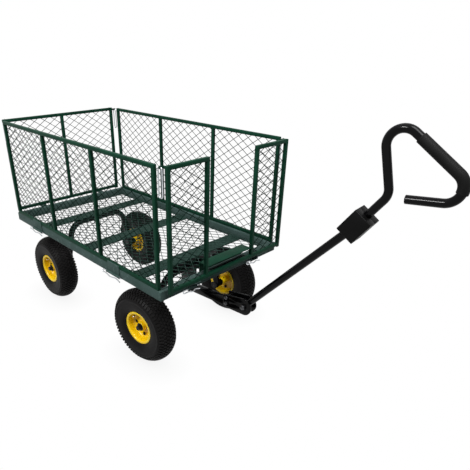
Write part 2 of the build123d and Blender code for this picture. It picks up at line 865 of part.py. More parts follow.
def hitch_cover():
    """Hollow box in line with the handle's stem, over the hitch joint."""
    middle = cover_length / 2 - cover_overlap
    shell = Box(cover_length, cover_depth, cover_height)
    shell = chamfer(shell.edges(), cover_edge)
    inside = [size - 2 * cover_wall for size in (cover_length, cover_depth, cover_height)]
    shell = Pos(middle, 0, 0) * (shell - Box(*inside))
    lean = cover_overlap * math.tan(math.radians(joint_tilt))
    holes = [rod((0, 0, 0), (2 * cover_length, 0, 0), handle_d + 2 * cover_fit)]
    holes.append(rod((-2 * cover_length, 0, 0), (0, 0, 0), bar_d + 2 * (lean + 2 * cover_fit)))
    return Pos(joint_reach, 0, 0) * Rot(0, -joint_tilt, 0) * shell.cut(*holes)


rear_place = Pos(rear_axle_x, 0, 0)
bolster_place = Pos(kingpin_x, 0, 0)
front_place = bolster_place * Rot(0, 0, steer_rest)
drawbar_place = front_place * Pos(pivot_reach, 0, pivot_height) * Rot(0, -bar_elevation, 0)
left_hub = Pos(0, wheel_y, axle_height)
right_hub = Pos(0, -wheel_y, axle_height) * Rot(0, 0, 180)
wheel_places = {
    "front_left": front_place * left_hub,
    "front_right": front_place * right_hub,
    "rear_left": rear_place * left_hub,
    "rear_right": rear_place * right_hub,
}
mirror_side = Plane.XZ
mirror_end = Plane.YZ


def moved(place, shapes):
    """Shapes at a place, one or several."""
    return [place * shape for shape in shapes] if isinstance(shapes, list) else place * shapes


def all_hinges(piece):
    """A hinge piece at each of the eight panel hinges."""
    pieces = [place * piece(long_tab_width) for place in long_places]
    return pieces + [place * piece(short_tab_width) for place in short_places]


latch = corner_latch()
left_frame = long_frame()
left_mesh = long_mesh()
nodes = {
    "deck_frame": deck_frame(),
    "floor_bars": floor_bars(),
    "floor_mesh": floor_mesh(),
    "hinge_pins": all_hinges(hinge_pin),
    "left_panel_frame": left_frame,
    "left_panel_mesh": left_mesh,
    "right_panel_frame": mirror(left_frame, about=mirror_side),
    "right_panel_mesh": [mirror(net, about=mirror_side) for net in left_mesh],
    "front_panel_frame": front_frame(),
    "front_panel_mesh": front_mesh(),
    "rear_panel_frame": rear_frame(),
    "rear_panel_mesh": rear_mesh(),
    "latch_front_left": latch,
    "latch_front_right": mirror(latch, about=mirror_side),
    "latch_rear_left": mirror(latch, about=mirror_end),
    "latch_rear_right": Rot(0, 0, 180) * latch,
    "rear_axle_frame": rear_place * rear_axle_frame(),
    "rear_axle_stubs": moved(rear_place, axle_stubs()),
    "rear_washers": moved(rear_place, axle_washers()),
    "rear_cotter_pins": moved(rear_place, axle_cotters()),
    "front_bolster": bolster_place * bolster(),
    "turntable_upper_plate": bolster_place * upper_plate(),
    "kingpin": bolster_place * kingpin(),
    "kingpin_nut": bolster_place * kingpin_nut(),
    "front_axle_frame": front_place * front_axle_frame(),
    "front_axle_stubs": moved(front_place, axle_stubs()),
    "front_washers": moved(front_place, axle_washers()),
    "front_cotter_pins": moved(front_place, axle_cotters()),
    "tongue": front_place * tongue(),
    "clevis_plates": moved(front_place, clevis_plates()),
    "tongue_bolts": moved(front_place, tongue_bolts()),
    "pivot_bolt": front_place * bolt_across(*pivot_size),
    "pivot_nut": front_place * nut_across(*pivot_size),
    "drawbar_tube": drawbar_place * drawbar_tube(),
    "hitch_pin": drawbar_place * hitch_hole(bar_d / 2 - hitch_pin_recess, 0),
    "hitch_cover": drawbar_place * hitch_cover(),
    "handle_tube": drawbar_place * handle_tube(),
    "handle_grip": drawbar_place * grip(),
    "handle_plug": drawbar_place * end_plug(),
}
for corner, place in wheel_places.items():
    for name, piece in wheel_pieces.items():
        nodes[f"{corner}_{name}"] = moved(place, piece)


def solids_of(shape):
    """Separate solids of a node."""
    return shape if isinstance(shape, list) else [shape]


whole = Compound([solid for shape in nodes.values() for solid in solids_of(shape)]).bounding_box()
origin = Vector((whole.min.X + whole.max.X) / 2, (whole.min.Y + whole.max.Y) / 2, whole.min.Z)
to_origin = Pos(-origin.X, -origin.Y, -origin.Z)

os.makedirs("parts", exist_ok=True)
for name, shape in nodes.items():
    placed = [to_origin * solid for solid in solids_of(shape)]
    export_step(placed[0] if len(placed) == 1 else Compound(children=placed), f"parts/{name}.step")
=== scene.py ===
"""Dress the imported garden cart: modelled meshes and procedural finishes on the CAD frame, in a studio."""
from __future__ import annotations

import json
import logging
import math
from dataclasses import dataclass
from enum import Enum
from typing import Callable, Iterable, Sequence

import bpy
from mathutils import Matrix, Vector

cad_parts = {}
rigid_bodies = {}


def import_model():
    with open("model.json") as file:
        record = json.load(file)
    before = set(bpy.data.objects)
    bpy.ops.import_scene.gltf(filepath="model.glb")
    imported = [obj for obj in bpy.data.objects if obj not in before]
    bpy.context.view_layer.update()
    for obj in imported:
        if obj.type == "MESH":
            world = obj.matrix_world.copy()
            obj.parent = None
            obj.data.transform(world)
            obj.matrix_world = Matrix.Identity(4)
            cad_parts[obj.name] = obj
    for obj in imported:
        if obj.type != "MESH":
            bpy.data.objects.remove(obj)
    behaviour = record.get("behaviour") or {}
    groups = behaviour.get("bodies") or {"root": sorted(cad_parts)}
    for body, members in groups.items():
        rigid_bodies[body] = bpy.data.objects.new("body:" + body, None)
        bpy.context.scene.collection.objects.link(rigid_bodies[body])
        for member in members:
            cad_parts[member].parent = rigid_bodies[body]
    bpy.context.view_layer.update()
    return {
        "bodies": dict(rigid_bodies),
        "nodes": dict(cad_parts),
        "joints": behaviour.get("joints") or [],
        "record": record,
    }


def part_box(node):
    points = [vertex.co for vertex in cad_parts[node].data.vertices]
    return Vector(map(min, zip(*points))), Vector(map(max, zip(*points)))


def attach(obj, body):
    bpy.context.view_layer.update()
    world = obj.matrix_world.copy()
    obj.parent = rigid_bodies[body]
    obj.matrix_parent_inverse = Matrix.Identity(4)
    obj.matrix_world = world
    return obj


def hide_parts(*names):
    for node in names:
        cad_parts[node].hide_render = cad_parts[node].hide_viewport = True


LOG = logging.getLogger("garden_cart")
MM = 0.001
MERGE = 1e-6
Mesh = bpy.types.Object
Socket = bpy.types.NodeSocket


class Side(Enum):
    """Side of the deck that a panel hangs on."""

    LEFT = "left"
    RIGHT = "right"
    FRONT = "front"
    REAR = "rear"


class Corner(Enum):
    """Corner of the cart, with a wheel below and a latch above."""

    FRONT_LEFT = "front_left"
    FRONT_RIGHT = "front_right"
    REAR_LEFT = "rear_left"
    REAR_RIGHT = "rear_right"


def srgb(hex_code: str) -> tuple[float, float, float, float]:
    """Linear colour of an sRGB hex value.

    Args:
        hex_code: six hex digits.

    Returns:
        Linear red, green, blue and an alpha of 1.
    """
    values = [int(hex_code[i:i + 2], 16) / 255 for i in (0, 2, 4)]
    linear = [v / 12.92 if v <= 0.04045 else ((v + 0.055) / 1.055) ** 2.4 for v in values]
    return (*linear, 1.0)


def per_metre(size_mm: float) -> float:
    """Texture scale that repeats once in the given size."""
    return 1000.0 / size_mm


def turn_by(angle_deg: float, axis: str) -> Matrix:
    """Turn about the X, Y or Z axis."""
    return Matrix.Rotation(math.radians(angle_deg), 4, axis)


def add_node(
    tree: bpy.types.NodeTree, kind: str, inputs: dict | None = None, **settings: object
) -> bpy.types.Node:
    """Add a node, set it up and link its inputs.

    Args:
        tree: node tree that takes the node.
        kind: node type name without the ShaderNode prefix.
        inputs: socket name or index to a value or to an output socket.
        settings: attributes of the node.

    Returns:
        The new node.
    """
    made = tree.nodes.new("ShaderNode" + kind)
    for key, value in settings.items():
        setattr(made, key, value)
    for key, value in (inputs or {}).items():
        if isinstance(value, Socket):
            tree.links.new(value, made.inputs[key])
        else:
            made.inputs[key].default_value = value
    return made


@dataclass(frozen=True)
class Finish:
    """A coated or moulded surface: base colour with slow drift, fine grain in its bump and its gloss."""

    name: str
    colour: str
    drift: str
    roughness: tuple[float, float]
    grain_mm: float
    grain_height_mm: float
    drift_mm: float = 70.0
    metallic: float = 0.0
    specular: float = 0.5
    speckle: str | None = None
    speckle_mm: float = 6.0

    def build(self) -> bpy.types.Material:
        """Make the material.

        Returns:
            A new node material.
        """
        material = bpy.data.materials.new(self.name)
        material.use_nodes = True
        tree = material.node_tree
        tree.nodes.clear()
        place = add_node(tree, "TexCoord").outputs["Object"]
        fine = {"Vector": place, "Scale": per_metre(self.grain_mm), "Detail": 4.0}
        grain = add_node(tree, "TexNoise", fine).outputs[0]
        low, high = self.roughness
        spread = {"Value": grain, "From Min": 0.3, "From Max": 0.7, "To Min": low, "To Max": high}
        gloss = add_node(tree, "MapRange", spread)
        height = self.height(tree, place, grain)
        relief = {"Height": height, "Strength": 1.0, "Distance": self.grain_height_mm * MM}
        bump = add_node(tree, "Bump", relief)
        skin = {
            "Base Color": self.tint(tree, place),
            "Roughness": gloss.outputs[0],
            "Normal": bump.outputs[0],
            "Metallic": self.metallic,
            "Specular IOR Level": self.specular,
        }
        shader = add_node(tree, "BsdfPrincipled", skin)
        add_node(tree, "OutputMaterial", {"Surface": shader.outputs[0]})
        return material

    def tint(self, tree: bpy.types.NodeTree, place: Socket) -> Socket:
        """Base colour with its slow drift and, where the finish has them, paler speckles.

        Args:
            tree: node tree.
            place: coordinates in metres.

        Returns:
            The colour's socket.
        """
        slow = add_node(tree, "TexNoise", {"Vector": place, "Scale": per_metre(self.drift_mm), "Detail": 3.0})
        share = add_node(tree, "MapRange", {"Value": slow.outputs[0], "From Min": 0.35, "From Max": 0.65})
        tones = {0: share.outputs[0], 6: srgb(self.colour), 7: srgb(self.drift)}
        colour = add_node(tree, "Mix", tones, data_type="RGBA").outputs[2]
        if self.speckle:
            size = {"Vector": place, "Scale": per_metre(self.speckle_mm), "Detail": 6.0}
            spots = add_node(tree, "TexNoise", size)
            mask = add_node(tree, "MapRange", {"Value": spots.outputs[0], "From Min": 0.6, "From Max": 0.68})
            tones = {0: mask.outputs[0], 6: colour, 7: srgb(self.speckle)}
            colour = add_node(tree, "Mix", tones, data_type="RGBA").outputs[2]
        return colour

    def height(self, tree: bpy.types.NodeTree, place: Socket, grain: Socket) -> Socket:
        """Surface height that drives the bump: the plain grain here."""
        return grain


@dataclass(frozen=True)
class PorousFinish(Finish):
    """A foamed surface: fine grain with pin-prick pores."""

    pore_mm: float = 2.4

    def height(self, tree: bpy.types.NodeTree, place: Socket, grain: Socket) -> Socket:
        """Grain with pores.

        Args:
            tree: node tree.
            place: coordinates in metres.
            grain: the fine grain.

        Returns:
            The height socket.
        """
        pores = add_node(tree, "TexVoronoi", {"Vector": place, "Scale": per_metre(self.pore_mm)})
        return add_node(tree, "Math", {0: pores.outputs[0], 1: grain}, operation="ADD").outputs[0]


# Polyester powder coat baked on mild steel: satin, with a faint orange peel. The peel is drawn
# at 3 mm, coarser than life, so that it shows in the picture.
PANEL_COAT = Finish("powder_coated_steel_green", "0E3526", "0B2C1F", (0.46, 0.6), 3.0, 0.05, specular=0.06)
# The same coat on the deck, greyer where the thick section has dulled and gathered dust.
DECK_COAT = Finish(
    "powder_coated_steel_grey_green", "415350", "384A46", (0.5, 0.64), 3.0, 0.06, specular=0.05,
    speckle="4D5F5C", speckle_mm=14.0,
)
# The floor's flat bars: the coat scuffed thin and dark.
BAR_COAT = Finish(
    "scuffed_powder_coated_bar", "263A34", "1E302A", (0.5, 0.66), 3.0, 0.05, specular=0.05,
    speckle="33473F", speckle_mm=18.0,
)
# Drawn wire under the same coat: a thin film, duller and darker than the tube.
WIRE_COAT = Finish(
    "powder_coated_drawn_wire", "0B2119", "081912", (0.6, 0.75), 2.0, 0.04, drift_mm=25.0, specular=0.02
)
# The floor's wire, rubbed pale and dusty by loads.
FLOOR_COAT = Finish(
    "rubbed_powder_coated_wire", "344641", "283934", (0.6, 0.75), 2.0, 0.04, drift_mm=40.0, specular=0.03
)
# Black gloss powder coat on the running gear and the tubes: smooth and deep, with narrow highlights.
BLACK_COAT = Finish("black_gloss_powder_coat", "040405", "070708", (0.1, 0.18), 9.0, 0.004, specular=0.1)
# Natural rubber with carbon black, moulded: matt, bloomed grey in patches.
TYRE_RUBBER = Finish(
    "moulded_carbon_black_rubber", "0A0909", "100F0F", (0.4, 0.55), 1.6, 0.05, drift_mm=40.0, specular=0.07,
    speckle="1A1918",
)
# Enamel over pressed steel: glossy chrome yellow, a little deeper where the coat pools.
RIM_ENAMEL = Finish("yellow_enamel_on_steel", "F5D214", "E9BF0C", (0.2, 0.32), 5.0, 0.04, specular=0.3)
# Bright zinc plate: pale grey metal with a soft crystalline mottling.
ZINC_PLATE = Finish(
    "bright_zinc_plate", "D2D5D8", "BABEC2", (0.22, 0.38), 2.5, 0.02, drift_mm=9.0, metallic=1.0
)
# The same plate on bolts and nuts, dulled by grease and dust.
BOLT_PLATE = Finish(
    "greasy_zinc_plate", "5A5B5D", "434446", (0.25, 0.4), 2.0, 0.02, drift_mm=7.0, metallic=1.0
)
# Plain turned steel, dark and half matt: partly its own grey, partly painted shade, darkened to stand in for
# the shade inside the deep hub recess where the axle ends, washers and cotter pins sit.
DARK_STEEL_AND_HUB_SHADE = Finish(
    "dark_steel_and_painted_hub_shade", "242322", "191817", (0.4, 0.55), 2.0, 0.03, drift_mm=8.0, metallic=0.8
)
# Closed-cell foam sleeve: matt with small pores, drawn at 2.4 mm, coarser than life, so that they show.
GRIP_FOAM = PorousFinish(
    "closed_cell_foam_sleeve", "0A0A0A", "131313", (0.45, 0.65), 1.2, 0.14, specular=0.09
)
# Injection-moulded polypropylene: spark-eroded texture, semi-matt.
BOX_PLASTIC = Finish(
    "moulded_black_polypropylene", "060606", "0B0B0C", (0.34, 0.46), 1.0, 0.06, specular=0.08
)


class Shop:
    """Workbench of modelling steps, each done with the modeller's own operators."""

    @staticmethod
    def clear() -> None:
        """Deselect everything."""
        bpy.ops.object.select_all(action="DESELECT")

    @classmethod
    def pick(cls, piece: Mesh) -> None:
        """Select one piece alone and make it active.

        Args:
            piece: the piece.
        """
        cls.clear()
        bpy.context.view_layer.objects.active = piece
        piece.select_set(True)

    @staticmethod
    def adopt(name: str) -> Mesh:
        """Take the active object, put its place into its mesh and name it.

        Args:
            name: new name.

        Returns:
            The object.
        """
        made = bpy.context.object
        made.name = name
        made.data.name = name
        bpy.ops.object.transform_apply(location=True, rotation=True, scale=True)
        return made

    @classmethod
    def in_edit(cls, piece: Mesh, steps: Callable[[], None]) -> None:
        """Run edit-mode steps on one piece with all of it selected.

        Args:
            piece: the piece.
            steps: what is done in edit mode.
        """
        cls.pick(piece)
        bpy.ops.object.mode_set(mode="EDIT")
        bpy.ops.mesh.select_all(action="SELECT")
        steps()
        bpy.ops.object.mode_set(mode="OBJECT")

    @classmethod
    def modify(cls, piece: Mesh, kind: str, **settings: object) -> Mesh:
        """Put one modifier on a piece and apply it.

        Args:
            piece: the piece.
            kind: modifier type.
            settings: attributes of the modifier.

        Returns:
            The piece.
        """
        cls.pick(piece)
        modifier = piece.modifiers.new(kind.lower(), kind)
        for key, value in settings.items():
            setattr(modifier, key, value)
        bpy.ops.object.modifier_apply(modifier=modifier.name)
        return piece

    @classmethod
    def slab(cls, low: Sequence[float], high: Sequence[float], rounding: float, segments: int = 2) -> Mesh:
        """Box with rounded edges.

        Args:
            low: lowest corner.
            high: highest corner.
            rounding: edge radius.
            segments: steps in the rounding.

        Returns:
            The box.
        """
        low, high = Vector(low), Vector(high)
        cls.clear()
        bpy.ops.mesh.primitive_cube_add(size=1.0, location=(low + high) / 2)
        bpy.context.object.scale = high - low
        box = cls.adopt("slab")
        cls.in_edit(box, lambda: bpy.ops.mesh.bevel(offset=rounding, segments=segments, affect="EDGES"))
        return box

    @classmethod
    def rod(
        cls, start: Sequence[float], end: Sequence[float], radius: float, sides: int, rim: float = 0.0
    ) -> Mesh:
        """Round bar between two points, its end rims rounded.

        Args:
            start: first end.
            end: second end.
            radius: bar radius.
            sides: faces round the bar.
            rim: radius of the end rims, or 0 for sharp ones.

        Returns:
            The bar.
        """
        start, end = Vector(start), Vector(end)
        axis = end - start
        cls.clear()
        bpy.ops.mesh.primitive_cylinder_add(vertices=sides, radius=radius, depth=axis.length)
        bar = cls.adopt("rod")
        if rim > 0:
            cls.modify(bar, "BEVEL", width=rim, segments=2, angle_limit=math.radians(60))
        turn = axis.to_track_quat("Z", "Y").to_matrix().to_4x4()
        return cls.at(bar, Matrix.Translation((start + end) / 2) @ turn)

    @classmethod
    def pipe(cls, points: Sequence[Vector], radius: float, sides: int, closed: bool = False) -> Mesh:
        """Round wire or tube along a line of points.

        Args:
            points: the line.
            radius: wire radius.
            sides: faces round the wire.
            closed: joins the last point to the first.

        Returns:
            The wire as a mesh.
        """
        curve = bpy.data.curves.new("line", "CURVE")
        curve.dimensions = "3D"
        spline = curve.splines.new("POLY")
        spline.points.add(len(points) - 1)
        for knot, point in zip(spline.points, points):
            knot.co = (*point, 1.0)
        spline.use_cyclic_u = closed
        curve.bevel_depth = radius
        curve.bevel_resolution = max(0, sides // 4 - 1)
        curve.use_fill_caps = not closed
        line = bpy.data.objects.new("line", curve)
        bpy.context.scene.collection.objects.link(line)
        cls.pick(line)
        bpy.ops.object.convert(target="MESH")
        wire = bpy.context.object
        cls.in_edit(wire, lambda: bpy.ops.mesh.remove_doubles(threshold=MERGE))
        return wire

    @classmethod
    def lathe(cls, profile: Sequence[tuple[float, float]], steps: int) -> Mesh:
        """Turned shape about the Y axis.

        Args:
            profile: radius and axial place of each point of the closed profile.
            steps: faces round the axis.

        Returns:
            The turned mesh, at the origin.
        """
        count = len(profile)
        edges = [(i, (i + 1) % count) for i in range(count)]
        data = bpy.data.meshes.new("turned")
        data.from_pydata([(r, w, 0.0) for r, w in profile], edges, [])
        turned = bpy.data.objects.new("turned", data)
        bpy.context.scene.collection.objects.link(turned)

        def turn() -> None:
            """Spin the profile, close its seam and face it outwards."""
            bpy.ops.mesh.spin(steps=steps, angle=2 * math.pi, center=(0, 0, 0), axis=(0, 1, 0))
            bpy.ops.mesh.select_all(action="SELECT")
            bpy.ops.mesh.remove_doubles(threshold=MERGE)
            bpy.ops.mesh.normals_make_consistent(inside=False)

        cls.in_edit(turned, turn)
        return turned

    @classmethod
    def sleeve(cls, bore: float, outer: float, width: float, rim: float, steps: int) -> Mesh:
        """Bored sleeve about the Y axis with chamfered outer rims.

        Args:
            bore: inner radius.
            outer: outer radius.
            width: length along the axis.
            rim: chamfer of the outer rims.
            steps: faces round the axis.

        Returns:
            The sleeve, with its middle at the origin.
        """
        half = width / 2
        profile = [
            (bore, -half), (outer - rim, -half), (outer, -half + rim),
            (outer, half - rim), (outer - rim, half), (bore, half),
        ]
        return cls.lathe(profile, steps)

    @classmethod
    def ring_of(cls, piece: Mesh, count: int) -> Mesh:
        """Copy a piece evenly round the Y axis, in its own mesh.

        Args:
            piece: the piece.
            count: how many there are in the ring.

        Returns:
            The ring.
        """

        def copies() -> None:
            """Spin copies and merge the last one with the first."""
            bpy.ops.mesh.spin(steps=count, dupli=True, angle=2 * math.pi, center=(0, 0, 0), axis=(0, 1, 0))
            bpy.ops.mesh.select_all(action="SELECT")
            bpy.ops.mesh.remove_doubles(threshold=MERGE)

        cls.in_edit(piece, copies)
        return piece

    @classmethod
    def join(cls, name: str, pieces: Iterable[Mesh], smooth_deg: float = 35.0) -> Mesh:
        """Join meshes into one named piece, smooth below an angle.

        Args:
            name: the piece's name.
            pieces: meshes to join.
            smooth_deg: edges flatter than this are shaded smooth.

        Returns:
            The joined piece.
        """
        pieces = list(pieces)
        cls.pick(pieces[0])
        for piece in pieces[1:]:
            piece.select_set(True)
        if len(pieces) > 1:
            bpy.ops.object.join()
        made = bpy.context.object
        made.name = name
        made.data.name = name
        bpy.ops.object.shade_smooth_by_angle(angle=math.radians(smooth_deg))
        return made

    @staticmethod
    def at(piece: Mesh, place: Matrix) -> Mesh:
        """Move a piece's mesh to a place.

        Args:
            piece: the piece.
            place: the placement.

        Returns:
            The piece.
        """
        piece.data.transform(place)
        piece.data.update()
        return piece

    @staticmethod
    def copy(piece: Mesh) -> Mesh:
        """Copy of a piece with its own mesh.

        Args:
            piece: the piece.

        Returns:
            The copy.
        """
        twin = piece.copy()
        twin.data = piece.data.copy()
        bpy.context.scene.collection.objects.link(twin)
        return twin


def dress(piece: Mesh, material: bpy.types.Material, body: str, slot: str, *nodes: str) -> Mesh:
    """Give a new piece its finish and body, and hide the CAD nodes it stands for.

    Args:
        piece: the new piece.
        material: its finish.
        body: CAD body that carries it.
        slot: the record's material slot; not used.
        nodes: CAD nodes that it replaces.

    Returns:
        The piece.
    """
    piece.data.materials.clear()
    piece.data.materials.append(material)
    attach(piece, body)
    if nodes:
        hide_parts(*nodes)
    LOG.info("%s rides %s, %d faces", piece.name, body, len(piece.data.polygons))
    return piece


@dataclass(frozen=True)
class Palette:
    """The cart's finishes, each built once."""

    panel: bpy.types.Material
    deck: bpy.types.Material
    bar: bpy.types.Material
    wire: bpy.types.Material
    floor_wire: bpy.types.Material
    black: bpy.types.Material
    rubber: bpy.types.Material
    enamel: bpy.types.Material
    zinc: bpy.types.Material
    bolt: bpy.types.Material
    dark: bpy.types.Material
    foam: bpy.types.Material
    plastic: bpy.types.Material

    @classmethod
    def mixed(cls) -> Palette:
        """Build every finish.

        Returns:
            The palette, in the order of its fields.
        """
        finishes = (
            PANEL_COAT, DECK_COAT, BAR_COAT, WIRE_COAT, FLOOR_COAT, BLACK_COAT, TYRE_RUBBER, RIM_ENAMEL,
            ZINC_PLATE, BOLT_PLATE, DARK_STEEL_AND_HUB_SHADE, GRIP_FOAM, BOX_PLASTIC,
        )
        return cls(*(finish.build() for finish in finishes))


@dataclass(frozen=True)
class Net:
    """Diamond net of round strands that fills a rectangle in the XZ plane."""

    pitch_u: float
    pitch_v: float
    strand_r: float = 1.1 * MM
    sides: int = 6
    overrun: float = 4.0 * MM
    spare: int = 3

    def fill(self, u0: float, u1: float, v0: float, v1: float) -> Mesh:
        """Model the net of one bay.

        Args:
            u0: left edge.
            u1: right edge.
            v0: lower edge.
            v1: upper edge.

        Returns:
            The net, standing in the XZ plane.
        """
        rise = v1 - v0
        lean = rise * self.pitch_u / self.pitch_v
        net = Shop.join("net", [self.layer(u0, v0, sign * lean, rise, u1 - u0) for sign in (1, -1)])
        cuts = [((u, 0, 0), (way, 0, 0)) for u, way in ((u0, -1), (u1, 1))]
        cuts += [((0, 0, v), (0, 0, way)) for v, way in ((v0, -1), (v1, 1))]

        def trim() -> None:
            """Cut the strands off at the bay's four edges."""
            for point, normal in cuts:
                bpy.ops.mesh.select_all(action="SELECT")
                bpy.ops.mesh.bisect(plane_co=point, plane_no=normal, clear_outer=True, use_fill=False)

        Shop.in_edit(net, trim)
        return net

    def layer(self, u0: float, v0: float, lean: float, rise: float, width: float) -> Mesh:
        """Strands of one slant: one strand modelled, then arrayed along the bay.

        Args:
            u0: left edge of the bay.
            v0: lower edge of the bay.
            lean: sideways travel of a strand over the bay's height.
            rise: the bay's height.
            width: the bay's width.

        Returns:
            The strands, longer than the bay.
        """
        slope = Vector((lean, 0, rise))
        over = slope.normalized() * self.overrun
        foot = Vector((u0 - max(lean, 0.0) - self.pitch_u, 0, v0))
        strand = Shop.rod(foot - over, foot + slope + over, self.strand_r, self.sides)
        row = {
            "count": math.ceil((width + abs(lean)) / self.pitch_u) + self.spare,
            "use_relative_offset": False,
            "use_constant_offset": True,
            "constant_offset_displace": (self.pitch_u, 0, 0),
        }
        return Shop.modify(strand, "ARRAY", **row)


def bend_points(before: Vector, corner: Vector, after: Vector, radius: float, steps: int) -> list[Vector]:
    """Points of a rounded corner.

    Args:
        before: point ahead of the corner.
        corner: the corner.
        after: point past the corner.
        radius: bend radius.
        steps: segments in the bend.

    Returns:
        Points from the start to the end of the bend.
    """
    a, b = (before - corner).normalized(), (after - corner).normalized()
    half = a.angle(b) / 2
    reach = radius / math.tan(half)
    centre = corner + (a + b).normalized() * radius / math.sin(half)
    start, end = corner + a * reach - centre, corner + b * reach - centre
    total = start.angle(end)
    points = []
    for step in range(steps + 1):
        share = step / steps
        spot = (start * math.sin((1 - share) * total) + end * math.sin(share * total)) / math.sin(total)
        points.append(centre + spot)
    return points


def rounded_line(corners: Sequence[Vector], radii: Sequence[float], steps: int) -> list[Vector]:
    """Points of a line through corners, each inner corner rounded.

    Args:
        corners: the corners with both ends.
        radii: bend radius at each inner corner.
        steps: segments in each bend.

    Returns:
        The line's points.
    """
    line = [corners[0]]
    for i, radius in enumerate(radii, start=1):
        line += bend_points(corners[i - 1], corners[i], corners[i + 1], radius, steps)
    return [*line, corners[-1]]


@dataclass(frozen=True)
class Hinge:
    """Sizes of the deck's pin hinges, drawn about a pin along X with the deck at negative Y."""

    pin_r: float = 2.0 * MM
    bore_r: float = 2.05 * MM
    knuckle_r: float = 4.2 * MM
    offset: float = 4.8 * MM
    plate: float = 3.0 * MM
    plate_edge: float = 0.6 * MM
    back: float = 4.5 * MM
    side_gap: float = 0.5 * MM
    ear: float = 4.0 * MM
    ear_r: float = 4.75 * MM
    ear_edge: float = 0.5 * MM
    lap: float = 0.5 * MM
    lead: float = 8.0 * MM
    run: float = 22.0 * MM
    gap: float = 0.4 * MM
    hump: float = 4.5 * MM
    bend: float = 6.0 * MM
    eye_bend: float = 0.49
    lean_deg: float = 30.0

    def sleeve(self, middle: float, width: float, outer: float) -> Mesh:
        """Bored round sleeve along X.

        Args:
            middle: place of its middle on X.
            width: its length.
            outer: its outer radius.

        Returns:
            The sleeve.
        """
        ring = Shop.sleeve(self.bore_r, outer, width, self.ear_edge, 24)
        return Shop.at(ring, Matrix.Translation((middle, 0, 0)) @ turn_by(-90, "Z"))

    def tab(self, width: float, height: float) -> list[Mesh]:
        """Panel's tab: a knuckle and a plate.

        Args:
            width: the tab's width.
            height: the plate's upper edge above the pin.

        Returns:
            The knuckle and the plate.
        """
        half, front = width / 2, self.plate - self.back
        plate = Shop.slab((-half, -self.back, self.pin_r), (half, front, height), self.plate_edge)
        return [self.sleeve(0.0, width, self.knuckle_r), plate]

    def ears(self, width: float) -> list[Mesh]:
        """Deck's two ears beside a tab.

        Args:
            width: the tab's width.

        Returns:
            A sleeve and a root for each ear.
        """
        pieces = []
        for sign in (-1, 1):
            middle = sign * (width / 2 + self.side_gap + self.ear / 2)
            pieces.append(self.sleeve(middle, self.ear, self.ear_r))
            low = (middle - self.ear / 2, -self.offset - self.lap, -self.ear_r)
            pieces.append(Shop.slab(low, (middle + self.ear / 2, -self.bore_r, self.ear_r), self.ear_edge))
        return pieces

    def pin(self, width: float) -> Mesh:
        """R-clip that is the hinge's pin: a straight leg through it and a wavy leg back below.

        Args:
            width: the tab's width.

        Returns:
            The clip.
        """
        outer = width / 2 + self.side_gap + self.ear
        lean = math.radians(self.lean_deg)
        leg = (self.ear_r + self.pin_r + self.gap) / math.cos(lean)
        tip, eye = -outer - self.lead, outer + self.run
        spots = [(tip, 0.0), (eye, 0.0), (eye, leg), (outer, leg)]
        spots += [(outer / 3, leg + self.hump), (-outer / 2, leg), (tip, leg + self.hump)]
        out = Vector((0, math.sin(lean), -math.cos(lean)))
        corners = [Vector((x, 0, 0)) + out * depth for x, depth in spots]
        bends = (self.eye_bend * leg, self.eye_bend * leg, self.bend, self.bend, self.bend)
        return Shop.pipe(rounded_line(corners, bends, 10), self.pin_r, 16)


@dataclass(frozen=True)
class PanelPlan:
    """One folding panel: where it stands and what its frame is made of."""

    side: Side
    turn_deg: float
    posts: tuple[float, ...]
    tabs: tuple[float, ...]
    tab_width: float
    hinge_line: float
    long: bool
    gate: float = 0.0


